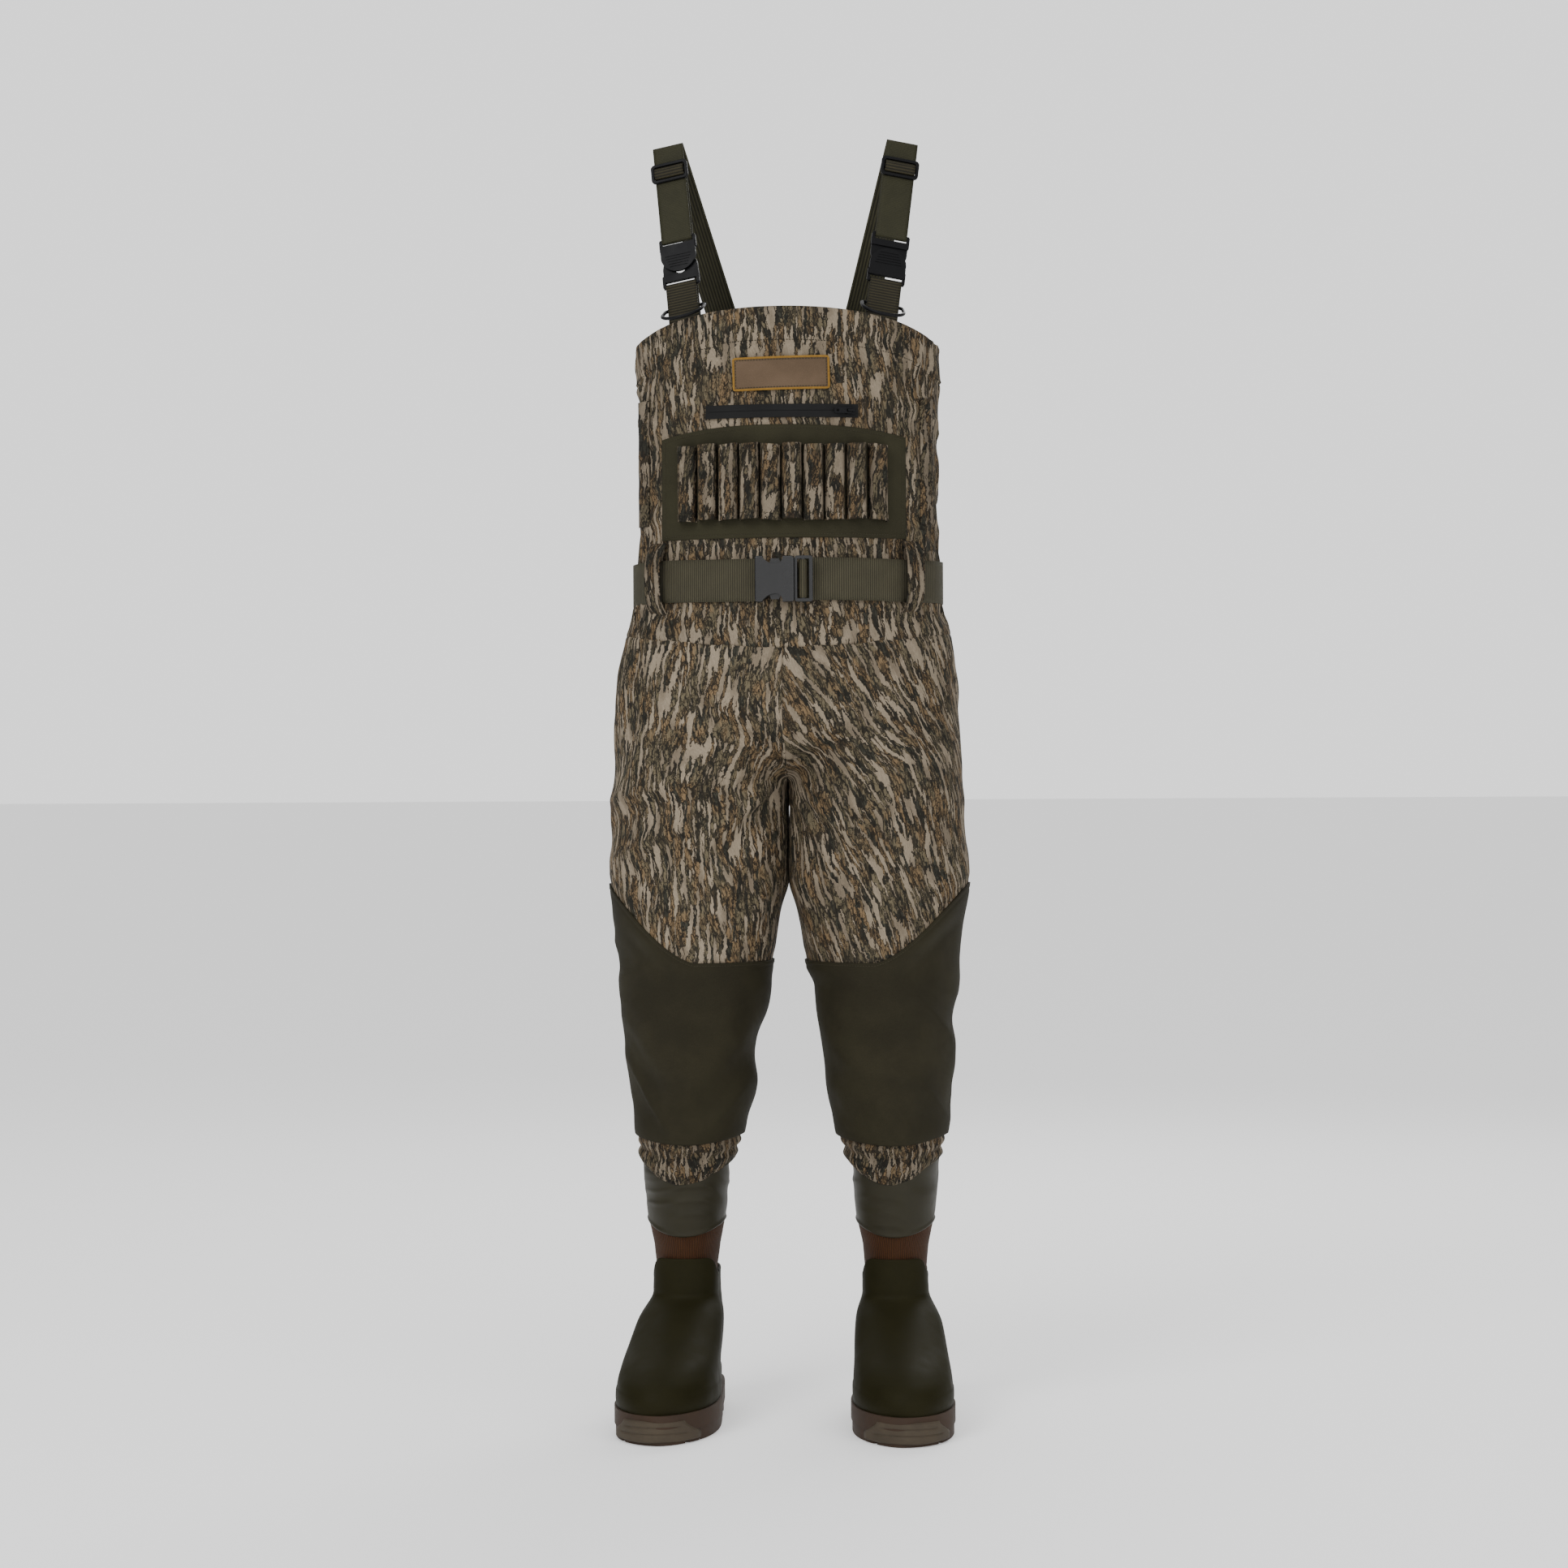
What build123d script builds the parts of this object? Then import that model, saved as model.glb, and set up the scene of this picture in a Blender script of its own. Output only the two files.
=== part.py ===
from build123d import *

import math
import os

# Chest waders with boots: camouflage bib and trousers, olive knee panels, shoulder straps, belt.
# Frame: +Z up, the front of the garment faces -Y, +X is the wearer's left, the floor is at z = 0.
# Pieces are drawn with the legs' axes at y = 0, and moved back by AXIS_Y when they are finished, so
# that the origin lies under the middle of the whole. "side" is +1 for the wearer's left, -1 for the
# right. Lengths are millimetres, angles are degrees.

os.makedirs("parts", exist_ok=True)

SIDES = {"left": 1, "right": -1}
AXIS_Y = 56.0

# --- garment -----------------------------------------------------------------------------------
WALL = 3.0  # fabric wall, laminate and lining together
GAP = 0.4  # between two neighbouring stretches of a leg
BIB_A, BIB_B = 184.0, 117.0  # half width and half depth of the straight part of the bib
BIB_LOW, BIB_HIGH = 1030.0, 1250.0  # the straight part runs between these heights
WAIST_Z = 922.0  # seam between bib and trousers
TOP_Z = 1316.0  # middle of the front top edge
TOP_DROP = 18.0  # how far the top edge falls from the middle to the side
TOP_SLOPE = 0.13  # how far the top edge falls for each millimetre towards the back
SEAT_END, THIGH_END, KNEE_END = 690.0, 560.0, 400.0  # lower ends of the stretches of a leg
PANEL_END, CUFF_END = 316.0, 279.0  # lower ends of the knee panel and of the gathered cuff
CROTCH_Z = 757.0

# Level ellipses, top first: height, centre x, half width, half depth, centre y.
HIPS = [
    (WAIST_Z, 0, 197, 121, 0),
    (860, 0, 206.5, 127, 0),
    (800, 0, 211, 130, 0),
    (CROTCH_Z, 0, 212, 128, 0),
]
LEG = [
    (810, 106.0, 101.5, 106, 0),
    (757, 107.0, 103.5, 121, 0),
    (690, 107.5, 104.0, 116, 0),
    (640, 108.5, 103.0, 111, 0),
    (593, 111.0, 99.5, 107, -1),
    (505, 115.0, 90.0, 98, -6),
    (446, 118.0, 84.0, 92, -4),
    (387, 120.0, 77.0, 86, 0),
    (328, 122.5, 67.0, 76, 3),
    (299, 125.0, 56.0, 65, 2),
    (269, 126.0, 52.0, 60, 0),
]

# --- boots -------------------------------------------------------------------------------------
BOOT_X = 126.0  # middle of the shaft
TOE_OUT = 5.0
BAND_LOW, FLEX_LOW = 214.0, 178.0  # lower ends of the rubber top band and of the stretch band
SOLE_TOP, OUTSOLE, SHELL_LOW = 34.0, 14.0, 24.0
BOOT_WALL = 5.0
# Level foot outlines: height, toe, heel, half width at the ball, half width at the heel.
FOOT = [
    (SHELL_LOW, -232, 66, 56, 40),
    (45, -236, 68, 57.5, 42),
    (62, -228, 66, 56, 41),
    (78, -200, 63, 51, 40),
    (92, -158, 60, 46, 39.5),
    (108, -115, 57, 43, 39.5),
    (128, -84, 54, 41.5, 39.5),
    (150, -64, 52, 40.5, 40),
    (FLEX_LOW, -53, 51, 40.5, 40.5),
]

# --- belt and buckle ---------------------------------------------------------------------------
BELT_Z, BELT_W, BELT_T = 994.0, 50.0, 2.4
BELT_A, BELT_B = 185.0, 119.0
BUCKLE_Y = -128.0  # middle of the buckle's thickness
BUCKLE_T, BUCKLE_H = 11.0, 54.0
CASE_X0, CASE_X1 = -31.0, 15.0  # ends of the female half
MALE_X1 = 37.0  # outer end of the male half

# --- straps ------------------------------------------------------------------------------------
STRAP_W, STRAP_T = 38.0, 1.8
BAR_R, BAR_GAP = 2.0, 0.3  # clip bars, and the air between a bar and its webbing
LOOP_R = BAR_R + BAR_GAP  # inside of the webbing's turn round a bar
HEM_POINT = Vector(116.5, -69, 1305)  # where the front run enters the bib
FOLD_POINT = Vector(141, -12, 1525)  # where the strap turns over
BACK_POINT = Vector(66, 125, 1262)  # where the rear run is sewn to the back
LOWER_BAR, UPPER_BAR = 46.5, 106.5  # places along the front run, measured up from the hem
SLIDER_AT, RING_AT = 192.0, 20.0
CLIP_W, CLIP_LENGTH, CLIP_NECK = 46.0, 42.0, 15.0

# --- chest -------------------------------------------------------------------------------------
ZIP_Z, ZIP_HALF, ZIP_W = 1192.0, 90.0, 15.5
ZIP_R = 278.0  # radius of the arc that the zipper follows
ZIP_CENTRE_Y = ZIP_R - BIB_B
ZIP_CLOSED = 16.7  # angle of the closed slider from the middle
PANEL_X, PANEL_LOW, PANEL_HIGH = 144.0, 1042.0, 1175.0
LOOP_COUNT, LOOP_PITCH, LOOP_LOW, LOOP_HIGH = 10, 24.6, 1064.0, 1152.0


def finish(piece, name):
    """Move a finished piece to its place over the origin, label it and write it."""
    piece.part = piece.part.moved(Location((0, AXIS_Y, 0)))
    piece.part.label = name
    export_step(piece.part, f"parts/{name}.step")


def finish_pair(piece, name):
    """Write a piece of the wearer's left side, and its mirror image for the right side."""
    with BuildPart() as opposite:
        add(piece.part.mirror(Plane.YZ))
    finish(piece, f"{name}_left")
    finish(opposite, f"{name}_right")


def ellipse_loft(sections, inset=0.0, stretch=0.0):
    """Solid through level ellipses, all made smaller by inset, its two ends moved out by stretch."""
    with BuildPart() as body:
        for i, (z, x, a, b, y) in enumerate(sections):
            end = stretch * ((i == 0) - (i == len(sections) - 1))
            with BuildSketch(Plane.XY.offset(z + end)):
                with Locations((x, y)):
                    Ellipse(a - inset, b - inset)
        loft()
    return body.part


def level_slab(low, high):
    """Wide block between two heights, which cuts a stretch out of a taller solid."""
    with BuildPart() as slab:
        with BuildSketch(Plane.XY.offset(low)):
            Rectangle(1200, 1200)
        extrude(amount=high - low)
    return slab.part


def surface_plane(x, z, lift=0.0, a=BIB_A, b=BIB_B, back=False):
    """Plane on an upright ellipse: x along the surface, y up, z straight out of the cloth."""
    y = -b * math.sqrt(1 - (x / a) ** 2)
    out = Vector(x / a**2, y / b**2, 0).normalized()
    if back:
        y, out = -y, Vector(out.X, -out.Y, 0)
    return Plane(origin=Vector(x, y, z) + out * lift, x_dir=(-out.Y, out.X, 0), z_dir=out)


# --- bib ---------------------------------------------------------------------------------------
def bib_solid(inset, low, high):
    """The bib as a closed solid: flared below the belt, straight over the chest, narrower at the top."""
    with BuildPart() as body:
        for stretch in (
            [(low, 197, 121), (975, 182, 116), (BIB_LOW, BIB_A, BIB_B)],
            [(BIB_LOW, BIB_A, BIB_B), (BIB_HIGH, BIB_A, BIB_B)],
            [(BIB_HIGH, BIB_A, BIB_B), (high, 181, 112)],
        ):
            for z, a, b in stretch:
                with BuildSketch(Plane.XY.offset(z)):
                    Ellipse(a - inset, b - inset)
            loft()
    return body.part


def above_top_edge():
    """Everything above the arched top edge of the bib, which falls to the sides and to the back."""
    half, far, high = 220.0, 200.0, 1600.0
    crown = TOP_Z + TOP_SLOPE * (far - BIB_B)
    edge = [(x, crown - TOP_DROP * abs(x / BIB_A) ** 2.2) for x in range(-220, 221, 55)]
    with BuildPart() as block:
        with BuildSketch(Plane.XZ.offset(far)):
            with BuildLine():
                arch = Spline(*edge)
                Polyline(arch @ 1, (half, high), (-half, high), arch @ 0)
            make_face()
        extrude(amount=2 * far, dir=(0, 1, -TOP_SLOPE))
    return block.part


def cloth_panel(name, half, low, high, lift, thick, back=False):
    """A panel of cloth that follows the bib's front or back, from lift to lift + thick outside it."""
    with BuildPart() as panel:
        with BuildSketch(Plane.XY.offset(low)):
            Ellipse(BIB_A + lift + thick, BIB_B + lift + thick)
            Ellipse(BIB_A + lift, BIB_B + lift, mode=Mode.SUBTRACT)
            with Locations((0, 150 if back else -150)):
                Rectangle(2 * half, 300, mode=Mode.INTERSECT)
        extrude(amount=high - low)
    finish(panel, name)


def shell_loops():
    """Ten elastic tubes side by side, each an arch of cloth sewn to the panel along both edges."""
    with BuildPart() as loops:
        for i in range(LOOP_COUNT):
            face = surface_plane((i - (LOOP_COUNT - 1) / 2) * LOOP_PITCH, LOOP_LOW, 1.7)
            base = Plane(origin=face.origin, x_dir=face.x_dir * -1, z_dir=(0, 0, 1))
            with BuildSketch(base):
                for half, rise, mode in ((11.6, 13, Mode.ADD), (9.8, 11.2, Mode.SUBTRACT)):
                    with BuildLine():
                        Line((-half, 0), (half, 0))
                        ThreePointArc((half, 0), (0, rise), (-half, 0))
                    make_face(mode=mode)
            extrude(amount=LOOP_HIGH - LOOP_LOW)
    return loops


def pocket_welt():
    """Upright welt of the hand-warmer pocket, on the wearer's left flank of the bib."""
    with BuildPart() as welt:
        with BuildSketch(surface_plane(168, 1135, 1.0)):
            RectangleRounded(13, 150, 4)
        extrude(amount=2.2)
    return welt


with BuildPart() as bib:
    add(bib_solid(0, WAIST_Z, 1340))
    add(bib_solid(WALL, WAIST_Z - 1, 1341), mode=Mode.SUBTRACT)
    add(above_top_edge(), mode=Mode.SUBTRACT)
finish(bib, "bib_shell")
cloth_panel("shell_panel", PANEL_X, PANEL_LOW, PANEL_HIGH, 0.1, 1.5)
cloth_panel("chest_badge", 56, 1218, 1254, 0.2, 1.6)
cloth_panel("inner_pocket", 95, 1060, 1200, -6.5, 3)
cloth_panel("back_yoke", 95, 1205, 1245, 0.2, 1.5, back=True)
finish(shell_loops(), "shell_loops")
finish_pair(pocket_welt(), "pocket_welt")


# --- zipper ------------------------------------------------------------------------------------
def zip_plane(lift):
    """Plane on the zipper's arc at the closed slider: x towards +X, y up, z out."""
    turn = math.radians(ZIP_CLOSED)
    out = Vector(math.sin(turn), -math.cos(turn), 0)
    origin = Vector(0, ZIP_CENTRE_Y, ZIP_Z) + out * (ZIP_R + lift)
    return Plane(origin=origin, x_dir=(math.cos(turn), math.sin(turn), 0), z_dir=out)


def zip_strip(half, width, low, high):
    """Strip along the zipper's arc, from low to high outside it."""
    with BuildPart() as strip:
        with BuildSketch(Plane.XY.offset(ZIP_Z - width / 2)):
            with Locations((0, ZIP_CENTRE_Y)):
                Circle(ZIP_R + high)
                Circle(ZIP_R + low, mode=Mode.SUBTRACT)
            with Locations((0, -150)):
                Rectangle(2 * half, 200, mode=Mode.INTERSECT)
        extrude(amount=width)
    return strip.part


def zip_slider():
    """Body on the teeth, with a bridge of two posts and a top that holds the pull's bar."""
    with BuildPart() as slider:
        with BuildSketch(zip_plane(2.8)):
            RectangleRounded(11, 9, 2)
        extrude(amount=2.4)
        with BuildSketch(zip_plane(5.2)):
            with Locations((-3.4, 0), (3.4, 0)):
                Rectangle(1.4, 2.4)
        extrude(amount=2.8)
        with BuildSketch(zip_plane(8.0)):
            RectangleRounded(8.2, 2.4, 0.6)
        extrude(amount=1.2)
    return slider


def zip_pull():
    """Flat puller with a round bar between two ears, held under the slider's bridge."""
    with BuildPart() as pull:
        with BuildSketch(zip_plane(5.8)):
            with Locations((-12.5, 0)):
                RectangleRounded(15, 6.8, 2)
                with Locations((-3.6, 0)):
                    Circle(1.7, mode=Mode.SUBTRACT)
            with Locations((-3.0, 2.6), (-3.0, -2.6)):
                Rectangle(7.6, 1.6)
        extrude(amount=1.6)
        bar_plane = zip_plane(6.6)
        with BuildSketch(Plane(origin=bar_plane.origin - Vector(0, 0, 2.6), z_dir=(0, 0, 1))):
            Circle(0.8)
        extrude(amount=5.2)
    return pull


with BuildPart() as zip_tape:
    add(zip_strip(ZIP_HALF, ZIP_W, 0.9, 2.4))
    add(zip_strip(ZIP_HALF - 4, 0.8, 1.9, 3), mode=Mode.SUBTRACT)
finish(zip_tape, "zipper_tape")
finish(zip_slider(), "zipper_slider")
finish(zip_pull(), "zipper_pull")


# --- trousers ----------------------------------------------------------------------------------
def leg_stretch(low, high):
    """A stretch of the wearer's left leg, as a tapering tube between two heights."""
    with BuildPart() as stretch:
        add(ellipse_loft(LEG))
        add(ellipse_loft(LEG, WALL, 1.0), mode=Mode.SUBTRACT)
        add(level_slab(low, high), mode=Mode.INTERSECT)
    return stretch


def trouser_seat():
    """Left half of the hips with the top of its leg: open inside and below, closed between the legs."""
    floor = [*HIPS[:-1], (CROTCH_Z + WALL, *HIPS[-1][1:])]
    space = [(WAIST_Z + 1, *HIPS[0][1:]), *floor[1:]]
    with BuildPart() as leg_space:
        add(ellipse_loft(LEG, WALL, 1.0))
        add(level_slab(SEAT_END - 1, 795), mode=Mode.INTERSECT)
    with BuildPart() as seat:
        add(ellipse_loft(LEG))
        add(level_slab(SEAT_END, 800), mode=Mode.INTERSECT)
        add(ellipse_loft(HIPS))
        add(ellipse_loft(space, WALL), mode=Mode.SUBTRACT)
        add(leg_space.part, mode=Mode.SUBTRACT)
        split(bisect_by=Plane.YZ.offset(GAP / 2), keep=Keep.TOP)
    return seat


finish_pair(trouser_seat(), "trouser_seat")
finish_pair(leg_stretch(THIGH_END, SEAT_END - GAP), "trouser_thigh")
finish_pair(leg_stretch(KNEE_END, THIGH_END - GAP), "knee_panel")
finish_pair(leg_stretch(PANEL_END, KNEE_END - GAP), "shin_panel")
finish_pair(leg_stretch(CUFF_END, PANEL_END - GAP), "cuff")


# --- boots -------------------------------------------------------------------------------------
def foot_plane(z):
    """Level plane at the left boot, its y axis along the foot, from the toe to the heel."""
    turn = math.radians(TOE_OUT)
    return Plane(origin=(BOOT_X, 0, z), x_dir=(math.cos(turn), math.sin(turn), 0), z_dir=(0, 0, 1))


def foot_outline(z, toe, heel, ball, back):
    """Level face with the outline of a foot, half as wide as ball at the toes and back at the heel."""
    widths = [
        (0.06, 0.56 * ball),
        (0.19, 0.9 * ball),
        (0.38, ball),
        (0.62, 0.485 * (ball + back)),
        (0.84, 0.9 * back),
        (0.96, 0.52 * back),
    ]
    outer = [(w, toe + share * (heel - toe)) for share, w in widths]
    inner = [(-w, y) for w, y in reversed(outer)]
    with BuildSketch(foot_plane(z)) as outline:
        with BuildLine():
            Spline((0, toe), *outer, (0, heel), *inner, periodic=True)
        make_face()
    return outline.sketch


def foot_solid(sections, inset=0.0):
    """Foot outlines lofted upwards, all made smaller by inset."""
    with BuildPart() as foot:
        loft([
            foot_outline(z, toe + inset, heel - inset, ball - inset, back - inset).face()
            for z, toe, heel, ball, back in sections
        ])
    return foot.part


def sole_slab(low, high, grow):
    """Level slab with the sole's outline, wider than the foot by grow."""
    with BuildPart() as slab:
        extrude(foot_outline(low, -233 - grow, 67 + grow, 56 + grow, 41 + grow), amount=high - low)
    return slab.part


def boot_foot():
    """Rubber foot of the boot, hollow, open at the top."""
    hollow = [(SHELL_LOW + 7, *FOOT[0][1:]), *FOOT[1:-1], (FLEX_LOW + 1, *FOOT[-1][1:])]
    with BuildPart() as foot:
        add(foot_solid(FOOT))
        add(foot_solid(hollow, BOOT_WALL), mode=Mode.SUBTRACT)
    return foot


def boot_outsole():
    """Tread, with bars across the ball and the heel and a deeper step under the arch."""
    with BuildPart() as outsole:
        add(sole_slab(0, OUTSOLE, 3))
        with BuildSketch(foot_plane(0)):
            for y in range(-212, -40, 22):
                with Locations((0, y)):
                    Rectangle(96, 6)
            for y in range(0, 60, 18):
                with Locations((0, y)):
                    Rectangle(66, 5)
            with Locations((0, -26)):
                Rectangle(200, 22)
        extrude(amount=5, mode=Mode.SUBTRACT)
    return outsole


def boot_midsole():
    """Side wall of the sole, round the rubber foot."""
    with BuildPart() as midsole:
        add(sole_slab(OUTSOLE, SOLE_TOP, 4.5))
        add(foot_solid(FOOT), mode=Mode.SUBTRACT)
    return midsole


def boot_toe_guard():
    """Low bumper that wraps the toe above the sole."""
    with BuildPart() as guard:
        add(sole_slab(SOLE_TOP, 46, 4))
        with BuildSketch(foot_plane(SOLE_TOP)):
            with Locations((0, -225)):
                Rectangle(140, 70)
        extrude(amount=12, mode=Mode.INTERSECT)
        add(foot_solid(FOOT, -0.2), mode=Mode.SUBTRACT)
    return guard


def boot_insole():
    """Loose cushioned insole inside the boot."""
    with BuildPart() as insole:
        extrude(foot_outline(SHELL_LOW + 7.2, -221, 55, 45, 30), amount=5)
    return insole


def boot_band(top, bottom, wall):
    """Short upright band of the boot's shaft, between two level ellipses."""
    with BuildPart() as band:
        add(ellipse_loft([top, bottom]))
        add(ellipse_loft([top, bottom], wall, 1.0), mode=Mode.SUBTRACT)
    return band


finish_pair(boot_foot(), "boot_foot")
finish_pair(boot_outsole(), "boot_outsole")
finish_pair(boot_midsole(), "boot_midsole")
finish_pair(boot_toe_guard(), "boot_toe_guard")
finish_pair(boot_insole(), "boot_insole")
top_band = boot_band((CUFF_END - GAP, BOOT_X, 50.5, 59, 0), (BAND_LOW, BOOT_X, 45, 53.5, 0), BOOT_WALL)
flex_band = boot_band((BAND_LOW - GAP, BOOT_X, 44, 52.5, 0), (FLEX_LOW + GAP, BOOT_X, 40.5, 51.5, -1), 4)
finish_pair(top_band, "boot_top_band")
finish_pair(flex_band, "boot_flex_band")


# --- belt --------------------------------------------------------------------------------------
def belt_webbing():
    """Webbing round the waist, with its two ends at the buckle."""
    with BuildPart() as webbing:
        with BuildSketch(Plane.XY.offset(BELT_Z - BELT_W / 2)):
            Ellipse(BELT_A + BELT_T, BELT_B + BELT_T)
            Ellipse(BELT_A, BELT_B, mode=Mode.SUBTRACT)
            with Locations((0, -BELT_B)):
                Rectangle(46, 60, mode=Mode.SUBTRACT)
        extrude(amount=BELT_W)
    return webbing


def belt_loops():
    """Five upright loops of cloth that hold the belt: two at the front, three at the back."""
    with BuildPart() as loops:
        for x, back in ((148, False), (-148, False), (118, True), (-118, True), (0, True)):
            base = surface_plane(x, BELT_Z, 3.0, BELT_A, BELT_B, back)
            edge = Plane(origin=base.origin, x_dir=(0, 0, 1), z_dir=Vector(0, 0, 1).cross(base.z_dir))
            with BuildSketch(edge):
                with BuildLine():
                    outer = Spline((-46, 0), (-30, 4.6), (0, 6.0), (30, 4.6), (46, 0))
                    inner = Spline((38, 0), (26, 2.4), (0, 3.8), (-26, 2.4), (-38, 0))
                    Line(outer @ 1, inner @ 0)
                    Line(inner @ 1, outer @ 0)
                make_face()
            extrude(amount=12.5, both=True)
    return loops


def buckle_plane(lift):
    """Upright plane through the buckle, moved forward by lift: x towards +X, y up, z to the front."""
    return Plane(origin=(0, BUCKLE_Y - lift, BELT_Z), x_dir=(1, 0, 0), z_dir=(0, -1, 0))


def buckle_case():
    """Female half: a flat case, open towards +X, with a finger notch above and below, and a belt slot."""
    half, depth = BUCKLE_H / 2, BUCKLE_T / 2
    with BuildPart() as case:
        with BuildSketch(buckle_plane(-depth)):
            with Locations(((CASE_X0 + CASE_X1) / 2, 0)):
                RectangleRounded(CASE_X1 - CASE_X0, BUCKLE_H, 3)
        extrude(amount=BUCKLE_T)
        fillet(case.faces().sort_by(Axis.Y)[0].edges(), 1.6)
        with BuildSketch(buckle_plane(2 - depth)):
            with Locations(((CASE_X0 + CASE_X1) / 2 + 6, 0)):
                Rectangle(CASE_X1 - CASE_X0 - 8, BUCKLE_H - 4)
        extrude(amount=BUCKLE_T - 4, mode=Mode.SUBTRACT)
        with BuildSketch(buckle_plane(-depth - 1)):
            for end in (1, -1):
                with BuildLine():
                    notch = Spline((CASE_X0 + 8, end * (half + 1)), (CASE_X0 + 17, end * (half - 8)),
                                   (CASE_X0 + 26, end * (half - 9.5)), (CASE_X0 + 33, end * (half + 1)))
                    Line(notch @ 1, notch @ 0)
                make_face()
        extrude(amount=BUCKLE_T + 2, mode=Mode.SUBTRACT)
        with BuildSketch(buckle_plane(-depth - 1)):
            with Locations((CASE_X0 + 5, 0)):
                Rectangle(3, BELT_W - 6)
        extrude(amount=6, mode=Mode.SUBTRACT)
    return case


def buckle_frame():
    """Male half: a frame with two slots and a bar for the webbing, and a tongue inside the case."""
    with BuildPart() as frame:
        with BuildSketch(buckle_plane(-3)):
            with Locations(((CASE_X1 + 0.6 + MALE_X1) / 2, 0)):
                RectangleRounded(MALE_X1 - CASE_X1 - 0.6, BUCKLE_H, 3)
            with Locations((CASE_X1 + 6.2, 0), (CASE_X1 + 15, 0)):
                Rectangle(4.6, BUCKLE_H - 8, mode=Mode.SUBTRACT)
        extrude(amount=7)
        fillet(frame.faces().sort_by(Axis.Y)[0].edges(), 0.8)
        with BuildSketch(buckle_plane(-2)):
            with Locations(((CASE_X0 + 16 + CASE_X1 + 1) / 2, 0)):
                Rectangle(CASE_X1 + 1 - CASE_X0 - 16, 8)
            with Locations((CASE_X1 - 2, 0)):
                Rectangle(6, BUCKLE_H - 5)
        extrude(amount=4)
    return frame


def buckle_prong(end):
    """One springy prong of the male half: a slim arm with a broad finger pad at its end."""
    root = CASE_X1 - 5.6
    with BuildPart() as prong:
        with BuildSketch(buckle_plane(-2)):
            with BuildLine():
                Polyline(
                    (root, end * 15), (CASE_X0 + 30, end * 12.5), (CASE_X0 + 22, end * 10),
                    (CASE_X0 + 17, end * 12), (CASE_X0 + 17.5, end * 20), (CASE_X0 + 19, end * 24),
                    (CASE_X0 + 28, end * 24), (CASE_X0 + 30, end * 19.5), (root, end * 19.5),
                    close=True,
                )
            make_face()
        extrude(amount=4)
    return prong


def belt_fold():
    """Short fold of webbing over the male half's bar, which travels with it."""
    middle = CASE_X1 + 10.6
    with BuildPart() as fold:
        with BuildSketch(Plane.XY.offset(BELT_Z - 22.5)):
            for half, rise, mode in ((5.6, 6.2, Mode.ADD), (4.0, 4.6, Mode.SUBTRACT)):
                with BuildLine():
                    bow = Spline((middle - half, BUCKLE_Y + 3), (middle - 0.6 * half, BUCKLE_Y - rise + 1),
                                 (middle, BUCKLE_Y - rise), (middle + 0.6 * half, BUCKLE_Y - rise + 1),
                                 (middle + half, BUCKLE_Y + 3))
                    Line(bow @ 1, bow @ 0)
                make_face(mode=mode)
        extrude(amount=45)
    return fold


finish(belt_webbing(), "belt_webbing")
finish(belt_loops(), "belt_loops")
finish(buckle_case(), "buckle_case")
finish(buckle_frame(), "buckle_frame")
finish(buckle_prong(1), "buckle_prong_upper")
finish(buckle_prong(-1), "buckle_prong_lower")
finish(belt_fold(), "belt_fold")


# --- shoulder straps, all for the wearer's left side ---------------------------------------------
UP = (FOLD_POINT - HEM_POINT).normalized()  # along the front run
ACROSS = (BACK_POINT - FOLD_POINT).cross(UP).normalized()  # the fold's direction, outwards
FACE = ACROSS.cross(UP)  # out of the front run's face


def strap_plane(along, lift=0.0):
    """Plane on the front run: x across the webbing, y up the strap, z out of its face."""
    return Plane(origin=HEM_POINT + UP * along + FACE * lift, x_dir=ACROSS, z_dir=FACE)


STRAP_EDGE = Plane(origin=HEM_POINT, x_dir=UP, z_dir=UP.cross(FACE))  # x up the strap, y out of its face


def strap():
    """One length of webbing: doubled round the clip's bar, up the front, folded over, down the back."""
    top = STRAP_EDGE.to_local_coords(FOLD_POINT + FACE * LOOP_R)
    end = STRAP_EDGE.to_local_coords(BACK_POINT)
    doubled = SLIDER_AT - 8 - UPPER_BAR
    with BuildPart() as webbing:
        with BuildSketch(STRAP_EDGE):
            with BuildLine():
                run = FilletPolyline((UPPER_BAR, LOOP_R), (top.X, top.Y), (end.X, end.Y), radius=4)
                offset(run, amount=STRAP_T, side=Side.LEFT)
            make_face()
            with Locations((UPPER_BAR, 0)):
                Circle(LOOP_R + STRAP_T)
                Circle(LOOP_R, mode=Mode.SUBTRACT)
            with Locations((UPPER_BAR + 10, 0)):
                Rectangle(20, 2 * LOOP_R, mode=Mode.SUBTRACT)
            with Locations((UPPER_BAR + doubled / 2, -LOOP_R - STRAP_T / 2)):
                Rectangle(doubled, STRAP_T)
        extrude(amount=STRAP_W / 2, both=True)
    return webbing


def hem_tab():
    """Webbing that holds the lower clip half: doubled round its bar, and sewn inside the bib's hem."""
    low = -11.0
    with BuildPart() as tab:
        with BuildSketch(STRAP_EDGE):
            with Locations(((LOWER_BAR + low) / 2, 0)):
                Rectangle(LOWER_BAR - low, 2 * (LOOP_R + STRAP_T))
            with Locations((LOWER_BAR, 0)):
                Circle(LOOP_R + STRAP_T)
            with Locations(((LOWER_BAR + low + 10) / 2, 0)):
                Rectangle(LOWER_BAR - low - 10, 2 * LOOP_R, mode=Mode.SUBTRACT)
            with Locations((LOWER_BAR, 0)):
                Circle(LOOP_R, mode=Mode.SUBTRACT)
        extrude(amount=STRAP_W / 2, both=True)
    return tab


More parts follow.
